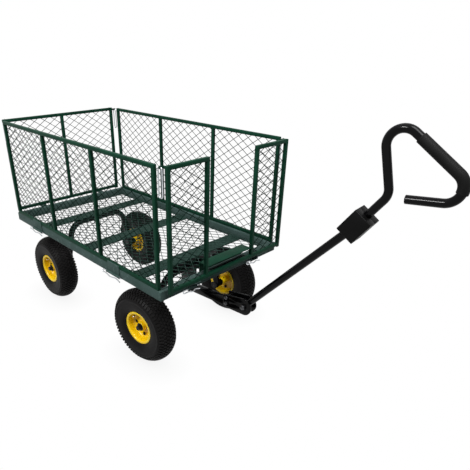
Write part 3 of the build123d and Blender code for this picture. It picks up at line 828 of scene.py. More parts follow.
@dataclass
class Panels:
    """The four folding panels: square-tube frames, hinge tabs and nets."""

    palette: Palette
    centre_x: float
    hinge: Hinge
    tube: float = 12.0 * MM
    corner: float = 1.7 * MM
    drop: float = 4.0 * MM
    rail_lap: float = 1.0 * MM
    net_lap: float = 0.4 * MM
    hinge_z: float = 315.5 * MM
    bracket_reach: float = 24.5 * MM
    weld_r: float = 1.3 * MM
    sill_top: float = 382.0 * MM
    sill_depth: float = 44.0 * MM
    sill_sheet: float = 2.0 * MM
    sill_drop: float = 8.0 * MM
    web_edge: float = 0.5 * MM
    tread_edge: float = 0.9 * MM
    lug_u: float = 265.5 * MM
    lug_v: float = 487.0 * MM
    lug_z: float = 717.5 * MM
    lug_r: float = 4.5 * MM
    lug_bore_r: float = 2.08 * MM
    lug_width: float = 5.0 * MM
    lug_edge: float = 0.5 * MM
    arm_u: float = 255.5 * MM
    arm_half: float = 3.0 * MM
    arm_half_z: float = 3.6 * MM
    keeper_z: float = 643.5 * MM
    keeper_r: float = 2.5 * MM
    keeper_out: float = 5.0 * MM
    keeper_edge: float = 0.8 * MM
    net: Net = Net(46.0 * MM, 30.6 * MM)
    plans: tuple[PanelPlan, ...] = (
        PanelPlan(Side.LEFT, 0, (-0.157, 0.157), (0.240, -0.297), 65 * MM, 280.5 * MM, True),
        PanelPlan(Side.RIGHT, 180, (-0.157, 0.157), (-0.240, 0.297), 65 * MM, 280.5 * MM, True),
        PanelPlan(Side.FRONT, -90, (-0.109, 0.109), (-0.150, 0.150), 28 * MM, 487 * MM, False, gate=0.103),
        PanelPlan(Side.REAR, 90, (0.0,), (-0.150, 0.150), 28 * MM, 487 * MM, False),
    )

    def build(self) -> None:
        """Model and dress all four panels."""
        for plan in self.plans:
            self.panel(plan)

    def place(self, plan: PanelPlan) -> Matrix:
        """Placement of a panel drawn with its outer side at positive Y."""
        return Matrix.Translation((self.centre_x, 0, 0)) @ turn_by(plan.turn_deg, "Z")

    def panel(self, plan: PanelPlan) -> None:
        """Model and dress one panel's frame, tabs and net.

        Args:
            plan: the panel.
        """
        body = f"{plan.side.value}_panel"
        place = self.place(plan)
        back = place.inverted()
        low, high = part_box(f"{body}_mesh")
        corners = [back @ low, back @ high]
        half = max(abs(c.x) for c in corners)
        middle = (corners[0].y + corners[1].y) / 2
        frame = Shop.join(f"{body}_tubes", self.frame(plan, half, middle, low.z, high.z), 40)
        dress(Shop.at(frame, place), self.palette.panel, body, "panel_green", f"{body}_frame")
        tabs = Shop.join(f"{body}_tabs", self.hinge_tabs(plan, low.z), 40)
        dress(Shop.at(tabs, place), self.palette.deck, body, "panel_green", f"{body}_frame")
        lap = self.net_lap
        bays = self.bays(plan, half)
        sheets = [self.net.fill(u0 - lap, u1 + lap, low.z - lap, high.z + lap) for u0, u1 in bays]
        net = Shop.at(Shop.join(f"{body}_net", sheets, 60), Matrix.Translation((0, middle, 0)))
        dress(Shop.at(net, place), self.palette.wire, body, "mesh_wire", f"{body}_mesh")

    def bays(self, plan: PanelPlan, half: float) -> list[tuple[float, float]]:
        """Bays between the posts that hold a net.

        Args:
            plan: the panel.
            half: half of the opening's length.

        Returns:
            Left and right edge of each bay.
        """
        edges = [-half, half]
        for post in plan.posts:
            edges += [post - self.tube / 2, post + self.tube / 2]
        edges.sort()
        bays = list(zip(edges[::2], edges[1::2]))
        return [bay for bay in bays if abs(sum(bay)) > self.tube] if plan.gate else bays

    def frame(self, plan: PanelPlan, half: float, middle: float, low: float, high: float) -> list[Mesh]:
        """Model a frame about its net's opening.

        Args:
            plan: the panel.
            half: half of the opening's length.
            middle: the frame's middle plane.
            low: bottom of the opening.
            high: top of the opening.

        Returns:
            The frame's tubes, welds and fittings.
        """
        t, near, far = self.tube, middle - self.tube / 2, middle + self.tube / 2
        level, upright = Vector((1, 0, 0)), Vector((0, 0, 1))

        def bar(u0: float, u1: float, z0: float, z1: float) -> Mesh:
            """Square tube that fills a rectangle of the frame."""
            return Shop.slab((min(u0, u1), near, z0), (max(u0, u1), far, z1), self.corner, 3)

        ends = half + (t if plan.long else self.rail_lap)
        tops = [(-ends, -plan.gate), (plan.gate, ends)] if plan.gate else [(-ends, ends)]
        pieces = [bar(-ends, ends, low - t, low)]
        pieces += [bar(u0, u1, high, high + t) for u0, u1 in tops]
        foot, head = (low - self.corner, high + self.corner) if plan.long else (low - t - self.drop, high + t)
        for sign in (-1, 1):
            pieces.append(bar(sign * half, sign * (half + t), foot, head))
            if plan.long:
                pieces += [self.bead(Vector((sign * (half + t / 2), middle, z)), level) for z in (low, high)]
            else:
                rails = (low - t / 2, high + t / 2)
                pieces += [self.bead(Vector((sign * half, middle, z)), upright) for z in rails]
        for post in plan.posts:
            pieces.append(bar(post - t / 2, post + t / 2, low - self.corner, high + self.corner))
            pieces += [self.bead(Vector((post, middle, z)), level) for z in (low, high)]
        pieces += self.keepers(half + t, middle) if plan.long else self.lugs(near)
        if plan.gate:
            pieces += self.sill(plan.gate, far, low)
        return pieces

    def bead(self, centre: Vector, along: Vector) -> Mesh:
        """Weld bead round the joint of two tubes, ground flush with the frame's outer and inner faces.

        Args:
            centre: middle of the joint.
            along: direction of the joint's plane in the frame.

        Returns:
            The bead.
        """
        wide, deep = along * self.tube / 2, Vector((0, self.tube / 2 - self.weld_r, 0))
        corners = [centre + a * wide + b * deep for a, b in ((-1, -1), (1, -1), (1, 1), (-1, 1))]
        return Shop.pipe(corners, self.weld_r, 8, True)

    def hinge_tabs(self, plan: PanelPlan, low: float) -> list[Mesh]:
        """Tabs of a long panel or bent brackets of a short one.

        Args:
            plan: the panel.
            low: bottom of the frame's opening.

        Returns:
            The tabs' knuckles and plates.
        """
        rise = low - self.hinge_z - (0.0 if plan.long else self.tube)
        half, hinge = plan.tab_width / 2, self.hinge
        pieces = []
        for u in plan.tabs:
            made = hinge.tab(plan.tab_width, rise)
            if not plan.long:
                start = (-half, -hinge.back, rise - hinge.plate)
                made.append(Shop.slab(start, (half, self.bracket_reach, rise), hinge.plate_edge))
            spot = Matrix.Translation((u, plan.hinge_line, self.hinge_z))
            pieces += [Shop.at(piece, spot) for piece in made]
        return pieces

    def keepers(self, end: float, middle: float) -> list[Mesh]:
        """Keeper pegs on the two ends of a long panel.

        Args:
            end: the panel's end.
            middle: the frame's middle plane.

        Returns:
            The two pegs.
        """
        pegs = []
        for sign in (-1, 1):
            start = (sign * (end - self.rail_lap), middle, self.keeper_z)
            tip = (sign * (end + self.keeper_out), middle, self.keeper_z)
            pegs.append(Shop.rod(start, tip, self.keeper_r, 16, self.keeper_edge))
        return pegs

    def lugs(self, near: float) -> list[Mesh]:
        """Eyes for the latches behind the end posts of a short panel, each on an arm from the post's face.

        Args:
            near: inner face of the posts.

        Returns:
            An eye and the two legs of its arm for each post.
        """
        pieces = []
        back, ahead = self.lug_v - self.lug_width / 2, self.lug_v + self.lug_width / 2
        low, high = self.lug_z - self.arm_half_z, self.lug_z + self.arm_half_z
        foot = self.arm_u - self.arm_half
        legs = ((self.lug_u - self.lug_bore_r, ahead), (self.arm_u + self.arm_half, near + self.lug_edge))
        for sign in (-1, 1):
            eye = Shop.sleeve(self.lug_bore_r, self.lug_r, self.lug_width, self.lug_edge, 20)
            pieces.append(Shop.at(eye, Matrix.Translation((sign * self.lug_u, self.lug_v, self.lug_z))))
            for reach, front in legs:
                u0, u1 = sorted((sign * foot, sign * reach))
                pieces.append(Shop.slab((u0, back, low), (u1, front, high), self.lug_edge))
        return pieces

    def sill(self, gate: float, far: float, low: float) -> list[Mesh]:
        """Folded sheet sill between the gate posts: a tread and a web turned down at its back.

        Args:
            gate: half of the gate's width.
            far: outer face of the frame.
            low: bottom of the frame's opening.

        Returns:
            The web and the tread.
        """
        back, top, sheet = far - self.sill_depth, self.sill_top, self.sill_sheet
        web = Shop.slab((-gate, back, low - self.sill_drop), (gate, back + sheet, top), self.web_edge)
        return [web, Shop.slab((-gate, back, top - sheet), (gate, far, top), self.tread_edge)]


@dataclass
class Deck:
    """The deck: tube ring with hinge ears, floor bars, floor net and hinge pins."""

    palette: Palette
    centre_x: float
    hinge: Hinge
    panels: Panels
    half_x: float = 482.2 * MM
    half_y: float = 275.7 * MM
    width: float = 20.0 * MM
    bottom: float = 310.0 * MM
    top: float = 343.0 * MM
    corner: float = 2.2 * MM
    lap: float = 2.0 * MM
    flat_half: float = 29.5 * MM
    flat_edge: float = 0.8 * MM
    net_z: float = 322.5 * MM
    net: Net = Net(46.0 * MM, 32.0 * MM)

    def build(self) -> None:
        """Model and dress the deck's pieces."""
        self.ring()
        self.floor()
        self.hardware()

    def hinges(self) -> list[tuple[Matrix, float]]:
        """Placement and tab width of every hinge.

        Returns:
            The placements, each with its tab's width.
        """
        spots = []
        for plan in self.panels.plans:
            place = self.panels.place(plan)
            for u in plan.tabs:
                spot = Matrix.Translation((u, plan.hinge_line, self.panels.hinge_z))
                spots.append((place @ spot, plan.tab_width))
        return spots

    def ring(self) -> None:
        """Tube ring with the hinges' ears."""
        x, y, w, c = self.half_x, self.half_y, self.width, self.centre_x
        reach = y - w + self.lap
        pieces = []
        for sign in (-1, 1):
            y0, y1 = sorted((sign * y, sign * (y - w)))
            pieces.append(Shop.slab((c - x, y0, self.bottom), (c + x, y1, self.top), self.corner, 3))
            x0, x1 = sorted((sign * x, sign * (x - w)))
            pieces.append(Shop.slab((c + x0, -reach, self.bottom), (c + x1, reach, self.top), self.corner, 3))
        for spot, width in self.hinges():
            pieces += [Shop.at(ear, spot) for ear in self.hinge.ears(width)]
        dress(Shop.join("deck_ring", pieces, 40), self.palette.deck, "chassis", "deck_green", "deck_frame")

    def floor(self) -> None:
        """Flat bars and the nets between their middles."""
        low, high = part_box("floor_bars")
        half, edge = self.flat_half, self.flat_edge
        bars = (low.x + half, self.centre_x, high.x - half)
        flats = [Shop.slab((x - half, low.y, low.z), (x + half, high.y, high.z), edge) for x in bars]
        dress(Shop.join("floor_flats", flats), self.palette.bar, "chassis", "deck_green", "floor_bars")
        low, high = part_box("floor_mesh")
        stops = (low.x, *bars, high.x)
        lay = Matrix.Translation((0, 0, self.net_z)) @ turn_by(-90, "X")
        nets = [self.net.fill(a, b, low.y, high.y) for a, b in zip(stops, stops[1:])]
        net = Shop.at(Shop.join("floor_net", nets, 60), lay)
        dress(net, self.palette.floor_wire, "chassis", "mesh_wire", "floor_mesh")

    def hardware(self) -> None:
        """R-clips that pin the hinges."""
        pins = [Shop.at(self.hinge.pin(width), spot) for spot, width in self.hinges()]
        dress(Shop.join("hinge_r_clips", pins, 60), self.palette.zinc, "chassis", "zinc_steel", "hinge_pins")


@dataclass
class Latches:
    """Wire bails that hang at the four corners."""

    palette: Palette
    wire_r: float = 2.0 * MM
    bend: float = 6.0 * MM
    bend_steps: int = 6

    def build(self) -> None:
        """Model and dress each bail inside its CAD box."""
        for corner in Corner:
            node = f"latch_{corner.value}"
            loop = Shop.pipe(self.line(*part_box(node)), self.wire_r, 16, True)
            bail = Shop.join(f"{corner.value}_bail", [loop], 60)
            dress(bail, self.palette.zinc, f"{node}_body", "zinc_steel", node)

    def line(self, low: Vector, high: Vector) -> list[Vector]:
        """Centre line of a bail: a rectangle with round corners.

        Args:
            low: lowest corner of the bail's box.
            high: highest corner of the bail's box.

        Returns:
            The closed line's points.
        """
        inset = self.wire_r + self.bend
        x0, x1, z0, z1 = low.x + inset, high.x - inset, low.z + inset, high.z - inset
        y = (low.y + high.y) / 2
        points = []
        for quarter, (x, z) in enumerate(((x1, z1), (x0, z1), (x0, z0), (x1, z0))):
            for step in range(self.bend_steps + 1):
                turn = math.pi / 2 * (quarter + step / self.bend_steps)
                points.append(Vector((x + self.bend * math.cos(turn), y, z + self.bend * math.sin(turn))))
        return points


def joint_named(joints: list[dict], name: str) -> dict:
    """The record's joint of a given name."""
    return next(joint for joint in joints if joint["name"] == name)


def upright_place(pos: Sequence[float], across: Vector) -> Matrix:
    """Placement whose Y axis points across and whose Z axis points up.

    Args:
        pos: origin.
        across: horizontal direction of the Y axis.

    Returns:
        The placement.
    """
    y = across.normalized()
    x = y.cross(Vector((0, 0, 1)))
    turn = Matrix((x, y, (0, 0, 1))).transposed().to_4x4()
    return Matrix.Translation(pos) @ turn


def in_metres(points_mm: Iterable[tuple[float, float]], way: int = 1) -> list[tuple[float, float]]:
    """Turning profile in metres from one in millimetres, mirrored along the axis if way is -1."""
    return [(r * MM, way * w * MM) for r, w in points_mm]


@dataclass(frozen=True)
class TreadRow:
    """One row of tread blocks: its tilt from the crown, block sizes, skew and the blocks' top."""

    tilt_deg: float
    width: float
    length: float
    skew_deg: float
    top_r: float


@dataclass
class Wheels:
    """Four wheels on split steel rims, each modelled about the Y axis with its outer side at positive Y."""

    palette: Palette
    joints: list[dict]
    crown_centre: float = 84.44 * MM
    block_count: int = 60
    block_foot_r: float = 41.5 * MM
    block_edge: float = 0.9 * MM
    rows: tuple[TreadRow, ...] = (
        TreadRow(6.0, 9.6 * MM, 8.8 * MM, 18.0, 49.2 * MM),
        TreadRow(18.0, 9.6 * MM, 8.6 * MM, -20.0, 49.2 * MM),
        TreadRow(30.0, 9.4 * MM, 8.4 * MM, 12.0, 49.0 * MM),
        TreadRow(44.5, 16.0 * MM, 7.6 * MM, 0.0, 48.3 * MM),
    )
    bolt_count: int = 4
    bolt_circle_r: float = 36.0 * MM
    bolt_r: float = 3.0 * MM
    bolt_tail: float = -8.5 * MM
    bolt_seat: float = 2.5 * MM
    head_top: float = 6.1 * MM
    nut_end: float = -7.3 * MM
    half_across_flats: float = 5.0 * MM
    bolt_edge: float = 0.5 * MM
    valve_circle_r: float = 43.0 * MM

    def build(self) -> None:
        """Model one wheel and copy it to each corner."""
        master = {
            "tyre": (self.tyre(), self.palette.rubber, "tyre_rubber"),
            "rim_outer": (self.outer_rim(), self.palette.enamel, "rim_yellow"),
            "rim_inner": (self.inner_rim(), self.palette.enamel, "rim_yellow"),
            "rim_bolts": (self.bolts(), self.palette.dark, "dark_steel"),
            "valve": (self.valve(), self.palette.zinc, "zinc_steel"),
        }
        for corner in Corner:
            joint = joint_named(self.joints, f"wheel_{corner.value}_spin")
            axis = Vector(joint["axis"])
            outward = axis if (axis.y > 0) == corner.value.endswith("left") else -axis
            place = upright_place(joint["pos_m"], outward)
            for kind, (piece, material, slot) in master.items():
                twin = Shop.at(Shop.copy(piece), place)
                twin.name = f"{corner.value}_{kind}_shape"
                dress(twin, material, f"wheel_{corner.value}", slot, f"{corner.value}_{kind}")
        for piece, _, _ in master.values():
            bpy.data.objects.remove(piece)

    def tyre(self) -> Mesh:
        """Carcass with sidewall ribs, and a tread of blocks.

        Returns:
            The tyre.
        """
        half = [
            (52.3, 28.2), (59.0, 28.2), (61.5, 30.2), (64.0, 33.0), (65.6, 33.6), (67.2, 34.4), (68.8, 35.8),
            (72.0, 36.8), (78.0, 38.2), (86.0, 39.4), (94.0, 39.8), (101.0, 39.6), (102.2, 40.0),
            (103.8, 40.0), (105.0, 39.2), (108.8, 37.8), (113.2, 35.2), (117.6, 31.5), (121.4, 27.2),
            (125.0, 21.8), (127.8, 15.8), (129.5, 9.5), (130.3, 3.0),
        ]
        carcass = Shop.lathe(in_metres(half) + in_metres(reversed(half), -1), 96)
        return Shop.join("tyre", [carcass, *self.tread()], 32)

    def tread(self) -> list[Mesh]:
        """Rows of blocks on both sides of the crown, each row from one block copied round the wheel.

        Returns:
            The rows.
        """
        rings = []
        pitch = 2 * math.pi / self.block_count
        crown = Matrix.Translation((self.crown_centre, 0, 0))
        for index, row in enumerate(self.rows):
            half_width, half_length = row.width / 2, row.length / 2
            for sign in (-1, 1):
                low = (self.block_foot_r, -half_width, -half_length)
                block = Shop.slab(low, (row.top_r, half_width, half_length), self.block_edge, 1)
                skewed = turn_by(sign * row.skew_deg, "X")
                tilted = turn_by(sign * row.tilt_deg, "Z")
                phase = Matrix.Rotation(pitch * (0.25 * sign + 0.5 * (index % 2)), 4, "Y")
                Shop.at(block, phase @ crown @ tilted @ skewed)
                rings.append(Shop.ring_of(block, self.block_count))
        return rings

    @staticmethod
    def bowl(way: int) -> Mesh:
        """One rim half: disc, rounded bowl, barrel and rolled lip.

        Args:
            way: 1 for the outboard half, -1 for the inboard half.

        Returns:
            The rim half.
        """
        points = [
            (15.05, 2.5), (34.0, 2.5), (39.0, 2.8), (43.0, 4.2), (46.2, 7.2), (48.2, 11.5), (49.0, 16.0),
            (49.4, 24.0), (50.0, 27.4), (51.6, 29.8), (54.0, 31.0), (58.2, 31.0), (59.5, 30.4), (60.0, 29.6),
            (59.6, 28.6), (54.6, 28.5), (52.6, 27.2), (52.0, 24.0), (51.7, 14.0), (50.6, 9.0), (47.6, 3.4),
            (44.0, 1.0), (39.0, 0.1), (15.05, 0.1),
        ]
        return Shop.lathe(in_metres(points, way), 72)

    def outer_rim(self) -> Mesh:
        """Outboard rim half."""
        return Shop.join("rim_outer", [self.bowl(1)], 40)

    def inner_rim(self) -> Mesh:
        """Inboard rim half with the hub tube.

        Returns:
            The rim half and its hub.
        """
        hub = [
            (8.06, -39.2), (8.8, -40.0), (14.2, -40.0), (15.0, -39.2),
            (15.0, 19.2), (14.2, 20.0), (8.8, 20.0), (8.06, 19.2),
        ]
        return Shop.join("rim_inner", [self.bowl(-1), Shop.lathe(in_metres(hub), 40)], 40)

    def bolts(self) -> Mesh:
        """Clamp bolts with their nuts, one modelled and copied round the wheel.

        Returns:
            The bolts.
        """
        hex_r = self.half_across_flats / math.cos(math.radians(30))
        solids = (
            (self.bolt_tail, self.bolt_seat, self.bolt_r, 16),
            (self.bolt_seat, self.head_top, hex_r, 6),
            (self.nut_end, -self.bolt_seat, hex_r, 6),
        )
        x, edge = self.bolt_circle_r, self.bolt_edge
        rods = [Shop.rod((x, w0, 0), (x, w1, 0), radius, sides, edge) for w0, w1, radius, sides in solids]
        return Shop.join("rim_bolts", [Shop.ring_of(Shop.join("bolt", rods), self.bolt_count)], 30)

    def valve(self) -> Mesh:
        """Valve with a stepped foot and a cap.

        Returns:
            The valve.
        """
        points = [
            (0.05, 2.6), (3.5, 2.6), (3.5, 7.0), (3.0, 8.6), (3.0, 15.4), (2.6, 15.8), (2.6, 17.0),
            (2.2, 17.2), (2.2, 17.8), (2.62, 18.0), (2.62, 23.6), (2.0, 24.4), (0.05, 24.4),
        ]
        side = self.valve_circle_r / math.sqrt(2)
        stem = Shop.at(Shop.lathe(in_metres(points), 20), Matrix.Translation((side, 0, side)))
        return Shop.join("valve", [stem], 35)


@dataclass
class RunningGear:
    """Axles, turntable, tongue and bolts: cleaned copies of the CAD nodes with eased edges."""

    palette: Palette
    nodes: dict[str, Mesh]
    frame_ease: float = 0.9 * MM
    fitting_ease: float = 0.35 * MM
    flat_deg: float = 0.5
    sharp_deg: float = 50.0
    black: tuple[tuple[str, str], ...] = (
        ("rear_axle_frame", "chassis"), ("front_bolster", "chassis"), ("turntable_upper_plate", "chassis"),
        ("front_axle_frame", "front_axle"), ("tongue", "front_axle"), ("clevis_plates", "front_axle"),
    )
    # Axle ends, washers and cotter pins take the dark steel, whose dark grey partly stands in for the shade
    # of the hub recess.
    dark: tuple[tuple[str, str], ...] = (
        ("rear_axle_stubs", "chassis"), ("rear_washers", "chassis"), ("rear_cotter_pins", "chassis"),
        ("front_axle_stubs", "front_axle"), ("front_washers", "front_axle"),
        ("front_cotter_pins", "front_axle"),
    )
    zinc: tuple[tuple[str, str], ...] = (
        ("kingpin", "chassis"), ("kingpin_nut", "chassis"), ("tongue_bolts", "front_axle"),
        ("pivot_bolt", "front_axle"), ("pivot_nut", "front_axle"), ("hitch_pin", "drawbar"),
    )

    def build(self) -> None:
        """Copy, clean and dress every node."""
        groups = (
            (self.black, self.frame_ease, self.palette.black, "black_steel"),
            (self.dark, self.fitting_ease, self.palette.dark, "dark_steel"),
            (self.zinc, self.fitting_ease, self.palette.bolt, "zinc_steel"),
        )
        for nodes, ease, finish, slot in groups:
            for node, body in nodes:
                dress(self.eased(node, ease), finish, body, slot, node)

    def eased(self, node: str, width: float) -> Mesh:
        """Copy of a node with flat faces merged and sharp edges bevelled.

        Args:
            node: CAD node.
            width: bevel width.

        Returns:
            The copy.
        """
        twin = Shop.copy(self.nodes[node])
        twin.parent = None
        for key in list(twin.keys()):
            del twin[key]

        def clean() -> None:
            """Merge the loose triangles and the faces that lie in one plane."""
            bpy.ops.mesh.remove_doubles(threshold=MERGE)
            bpy.ops.mesh.dissolve_limited(angle_limit=math.radians(self.flat_deg))

        Shop.in_edit(twin, clean)
        sharp = math.radians(self.sharp_deg)
        Shop.modify(twin, "BEVEL", width=width, segments=2, limit_method="ANGLE", angle_limit=sharp)
        return Shop.join(f"{node}_eased", [twin], 35)


@dataclass
class Pull:
    """Drawbar, bent handle, grip, end plug and the box over the joint, drawn along X from the pivot."""

    palette: Palette
    joints: list[dict]
    elevation_deg: float = 48.8
    bar_r: float = 12.0 * MM
    tube_r: float = 11.0 * MM
    tail: float = 15.0 * MM
    joint_at: float = 498.0 * MM
    tilt_deg: float = 6.29
    joint_gap: float = 1.5 * MM
    runs: tuple[tuple[float, float], ...] = (
        (112.5 * MM, 0.0), (217.9 * MM, 49.4), (336.6 * MM, -139.58), (180.4 * MM, -138.91),
    )
    bends: tuple[float, ...] = (40.0 * MM, 38.5 * MM, 38.5 * MM)
    bend_steps: int = 20
    sides: int = 32
    grip_start: float = 120.0 * MM
    grip_r: float = 13.5 * MM
    grip_wrap_deg: float = 72.0
    collar: float = 5.0 * MM
    collar_out: float = 0.2 * MM
    collar_share: float = 0.999
    collar_edge: float = 1.6 * MM
    plug_gap: float = 0.1 * MM
    plug_out: float = 3.0 * MM
    plug_edge: float = 1.2 * MM
    cover_low: tuple[float, float, float] = (-35.0 * MM, -27.5 * MM, -28.0 * MM)
    cover_high: tuple[float, float, float] = (39.4 * MM, 27.5 * MM, 28.0 * MM)
    cover_edge: float = 2.0 * MM
    cover_bores: tuple[float, float] = (16.3 * MM, 11.3 * MM)
    bore_lap: float = 0.1 * MM
    seam_half: float = 0.2 * MM

    def place(self) -> Matrix:
        """Placement of the drawbar at rest.

        Returns:
            The placement, with X along the drawbar.
        """
        joint = joint_named(self.joints, "drawbar_tilt")
        axis = Vector(joint["axis"])
        lift = turn_by(-self.elevation_deg, "Y")
        return upright_place(joint["pos_m"], axis if axis.y > 0 else -axis) @ lift

    def corners(self) -> list[Vector]:
        """Corner points of the handle's centre line.

        Returns:
            The corners, from the joint to the free end.
        """
        heading = math.radians(self.tilt_deg)
        points = [Vector((self.joint_at, 0, 0))]
        for length, turn in ((self.joint_gap, 0.0), *self.runs):
            heading += math.radians(turn)
            points.append(points[-1] + length * Vector((math.cos(heading), 0, math.sin(heading))))
        return points[1:]

    def build(self) -> None:
        """Model and dress the pieces."""
        place, palette, knots = self.place(), self.palette, self.corners()
        tilt = turn_by(-self.tilt_deg, "Y")
        bar = Shop.pipe([Vector((-self.tail, 0, 0)), Vector((self.joint_at, 0, 0))], self.bar_r, self.sides)
        self.put(Shop.join("drawbar_pipe", [bar], 50), place, palette.black, "black_steel", "drawbar_tube")
        handle = Shop.pipe(rounded_line(knots, self.bends, self.bend_steps), self.tube_r, self.sides)
        self.put(Shop.join("handle_pipe", [handle], 50), place, palette.black, "black_steel", "handle_tube")
        self.put(self.grip(knots), place, palette.foam, "grip_foam", "handle_grip")
        self.put(self.plug(knots), place, palette.plastic, "black_plastic", "handle_plug")
        joint = place @ Matrix.Translation((self.joint_at, 0, 0)) @ tilt
        self.put(self.cover(), joint, palette.plastic, "black_plastic", "hitch_cover", "cover")

    @staticmethod
    def put(
        piece: Mesh, place: Matrix, finish: bpy.types.Material, slot: str, node: str, body: str = "drawbar"
    ) -> None:
        """Move a piece to its place and dress it."""
        dress(Shop.at(piece, place), finish, body, slot, node)

    def plug(self, knots: list[Vector]) -> Mesh:
        """Plug in the handle's free end.

        Args:
            knots: corners of the handle's centre line.

        Returns:
            The plug.
        """
        end, along = knots[-1], (knots[-1] - knots[-2]).normalized()
        start, tip = end + along * self.plug_gap, end + along * self.plug_out
        return Shop.join("handle_end_plug", [Shop.rod(start, tip, self.tube_r, self.sides, self.plug_edge)])

    def grip(self, knots: list[Vector]) -> Mesh:
        """Foam sleeve along the grip side and part way round the last bend, with end collars.

        Args:
            knots: corners of the handle's centre line.

        Returns:
            The sleeve.
        """
        steps = self.bend_steps
        along = (knots[3] - knots[2]).normalized()
        start = knots[2] + along * self.grip_start
        bend = bend_points(knots[2], knots[3], knots[4], self.bends[2], steps)
        turned = math.pi - (knots[2] - knots[3]).angle(knots[4] - knots[3])
        kept = round(steps * math.radians(self.grip_wrap_deg) / turned)
        line = [start + (bend[0] - start) * step / steps for step in range(steps)] + bend[:kept + 1]
        pieces = [Shop.pipe(line, self.grip_r, self.sides)]
        collar_r = self.grip_r * self.collar_share
        for at, ahead in ((line[0], along), (line[-1], (line[-2] - line[-1]).normalized())):
            out, deep = at - ahead * self.collar_out, at + ahead * self.collar
            pieces.append(Shop.rod(out, deep, collar_r, self.sides, self.collar_edge))
        return Shop.join("foam_grip", pieces, 50)

    def cover(self) -> Mesh:
        """Box over the joint: two moulded halves that meet at a seam, bored for the bar and the handle.

        Returns:
            The box, with the joint at the origin.
        """
        low, high = Vector(self.cover_low), Vector(self.cover_high)
        shells = []
        for sign in (-1, 1):
            y0, y1 = sorted((sign * self.seam_half, sign * high.y))
            shells.append(Shop.slab((low.x, y0, low.z), (high.x, y1, high.z), self.cover_edge, 3))
        box = Shop.join("joint_box", shells, 40)
        reach = 2 * high.x
        for (start, end), radius in zip(((-reach, 0.0), (-self.bore_lap, reach)), self.cover_bores):
            bore = Shop.rod((start, 0, 0), (end, 0, 0), radius, 48)
            Shop.modify(box, "BOOLEAN", object=bore, operation="DIFFERENCE")
            bpy.data.objects.remove(bore)
        return Shop.join("joint_box", [box], 40)


@dataclass(frozen=True)
class Lamp:
    """A square soft box."""

    name: str
    at: tuple[float, float, float]
    size: float
    power: float


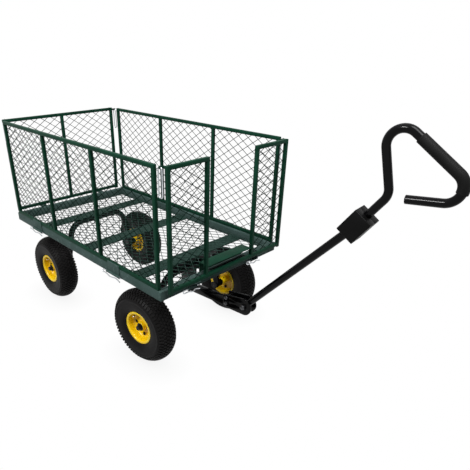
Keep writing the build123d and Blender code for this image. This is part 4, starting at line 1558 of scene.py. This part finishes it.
@dataclass
class Studio:
    """Floor, soft light and the photo's camera."""

    centre_x: float
    camera_at: tuple[float, float, float] = (1.4094, -1.0169, 1.0218)
    yaw_deg: float = 136.31
    pitch_deg: float = -27.14
    roll_deg: float = 0.13
    lens_mm: float = 35.07
    sensor_mm: float = 36.0
    shift: tuple[float, float] = (0.0836, 0.0768)
    near_clip: float = 0.01
    lamps: tuple[Lamp, ...] = (
        Lamp("key", (-0.25, -2.6, 2.55), 0.6, 88.0),
        Lamp("top", (-0.3, -0.2, 3.2), 3.0, 20.0),
        Lamp("fill", (1.4, -0.4, 3.0), 1.4, 85.0),
    )
    aim: tuple[float, float, float] = (-0.25, 0.0, 0.4)
    floor_size: float = 30.0
    sky: float = 0.04
    contact: float = 0.86
    contact_reach: float = 0.1

    def build(self) -> None:
        """Set the stage."""
        self.floor()
        for lamp in self.lamps:
            self.hang(lamp)
        self.world()
        self.camera()
        bpy.context.scene.view_settings.view_transform = "Standard"

    def floor(self) -> None:
        """Pale studio floor, white to the camera but for a soft contact shadow."""
        Shop.clear()
        bpy.ops.mesh.primitive_plane_add(size=self.floor_size, location=(0, 0, 0))
        ground = Shop.adopt("studio_floor")
        material = bpy.data.materials.new("pale_studio_floor")
        material.use_nodes = True
        tree = material.node_tree
        tree.nodes.clear()
        matt = add_node(tree, "BsdfDiffuse", {"Color": srgb("8C8C8C")})
        near = add_node(tree, "AmbientOcclusion", {"Distance": self.contact_reach}).outputs["AO"]
        shade = add_node(tree, "MapRange", {"Value": near, "To Min": self.contact, "To Max": 1.0})
        white = add_node(tree, "Emission", {"Color": srgb("FFFFFF"), "Strength": shade.outputs[0]})
        mixed = add_node(tree, "MixShader", {0: self.seen(tree), 1: matt.outputs[0], 2: white.outputs[0]})
        add_node(tree, "OutputMaterial", {"Surface": mixed.outputs[0]})
        ground.data.materials.append(material)

    @staticmethod
    def seen(tree: bpy.types.NodeTree) -> Socket:
        """Mask of the rays that show the background: straight from the camera, or by a mirror or glass.

        Args:
            tree: node tree.

        Returns:
            The mask's socket.
        """
        path = add_node(tree, "LightPath").outputs
        mask = path["Is Camera Ray"]
        for ray in ("Is Glossy Ray", "Is Transmission Ray"):
            mask = add_node(tree, "Math", {0: mask, 1: path[ray]}, operation="MAXIMUM").outputs[0]
        return mask

    def hang(self, lamp: Lamp) -> None:
        """Hang a soft box and aim it at the cart's middle.

        Args:
            lamp: the soft box.
        """
        light = bpy.data.lights.new(lamp.name, "AREA")
        light.energy = lamp.power
        light.size = lamp.size
        hung = bpy.data.objects.new(lamp.name, light)
        hung.location = lamp.at
        hung.rotation_euler = (Vector(self.aim) - Vector(lamp.at)).to_track_quat("-Z", "Y").to_euler()
        bpy.context.scene.collection.objects.link(hung)

    def world(self) -> None:
        """Even pale surroundings, plain white behind the cart."""
        world = bpy.data.worlds.new("studio")
        world.use_nodes = True
        tree = world.node_tree
        tree.nodes.clear()
        lit = add_node(tree, "Background", {"Color": srgb("FFFFFF"), "Strength": self.sky})
        white = add_node(tree, "Background", {"Color": srgb("FFFFFF"), "Strength": 1.0})
        mixed = add_node(tree, "MixShader", {0: self.seen(tree), 1: lit.outputs[0], 2: white.outputs[0]})
        add_node(tree, "OutputWorld", {"Surface": mixed.outputs[0]})
        bpy.context.scene.world = world

    def camera(self) -> None:
        """Camera at the photo's place and angle."""
        lens = bpy.data.cameras.new("photo")
        lens.lens = self.lens_mm
        lens.sensor_width = self.sensor_mm
        lens.shift_x, lens.shift_y = self.shift
        lens.clip_start = self.near_clip
        eye = bpy.data.objects.new("photo", lens)
        yaw, pitch = math.radians(self.yaw_deg), math.radians(self.pitch_deg)
        look = Vector((math.cos(pitch) * math.cos(yaw), math.cos(pitch) * math.sin(yaw), math.sin(pitch)))
        turn = look.to_track_quat("-Z", "Y").to_matrix().to_4x4()
        spot = Vector(self.camera_at) + Vector((self.centre_x, 0, 0))
        eye.matrix_world = Matrix.Translation(spot) @ turn @ turn_by(self.roll_deg, "Z")
        bpy.context.scene.collection.objects.link(eye)
        bpy.context.scene.camera = eye


def main() -> None:
    """Load the frame, build every sub-assembly and set the stage."""
    logging.basicConfig(level=logging.INFO, format="%(name)s: %(message)s")
    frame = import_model()
    Shop.clear()
    palette = Palette.mixed()
    low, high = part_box("deck_frame")
    centre_x = (low.x + high.x) / 2
    hinge = Hinge()
    panels = Panels(palette, centre_x, hinge)
    parts = (
        panels,
        Deck(palette, centre_x, hinge, panels),
        Latches(palette),
        Wheels(palette, frame["joints"]),
        RunningGear(palette, frame["nodes"]),
        Pull(palette, frame["joints"]),
        Studio(centre_x),
    )
    for part in parts:
        part.build()


if __name__ == "__main__":
    main()
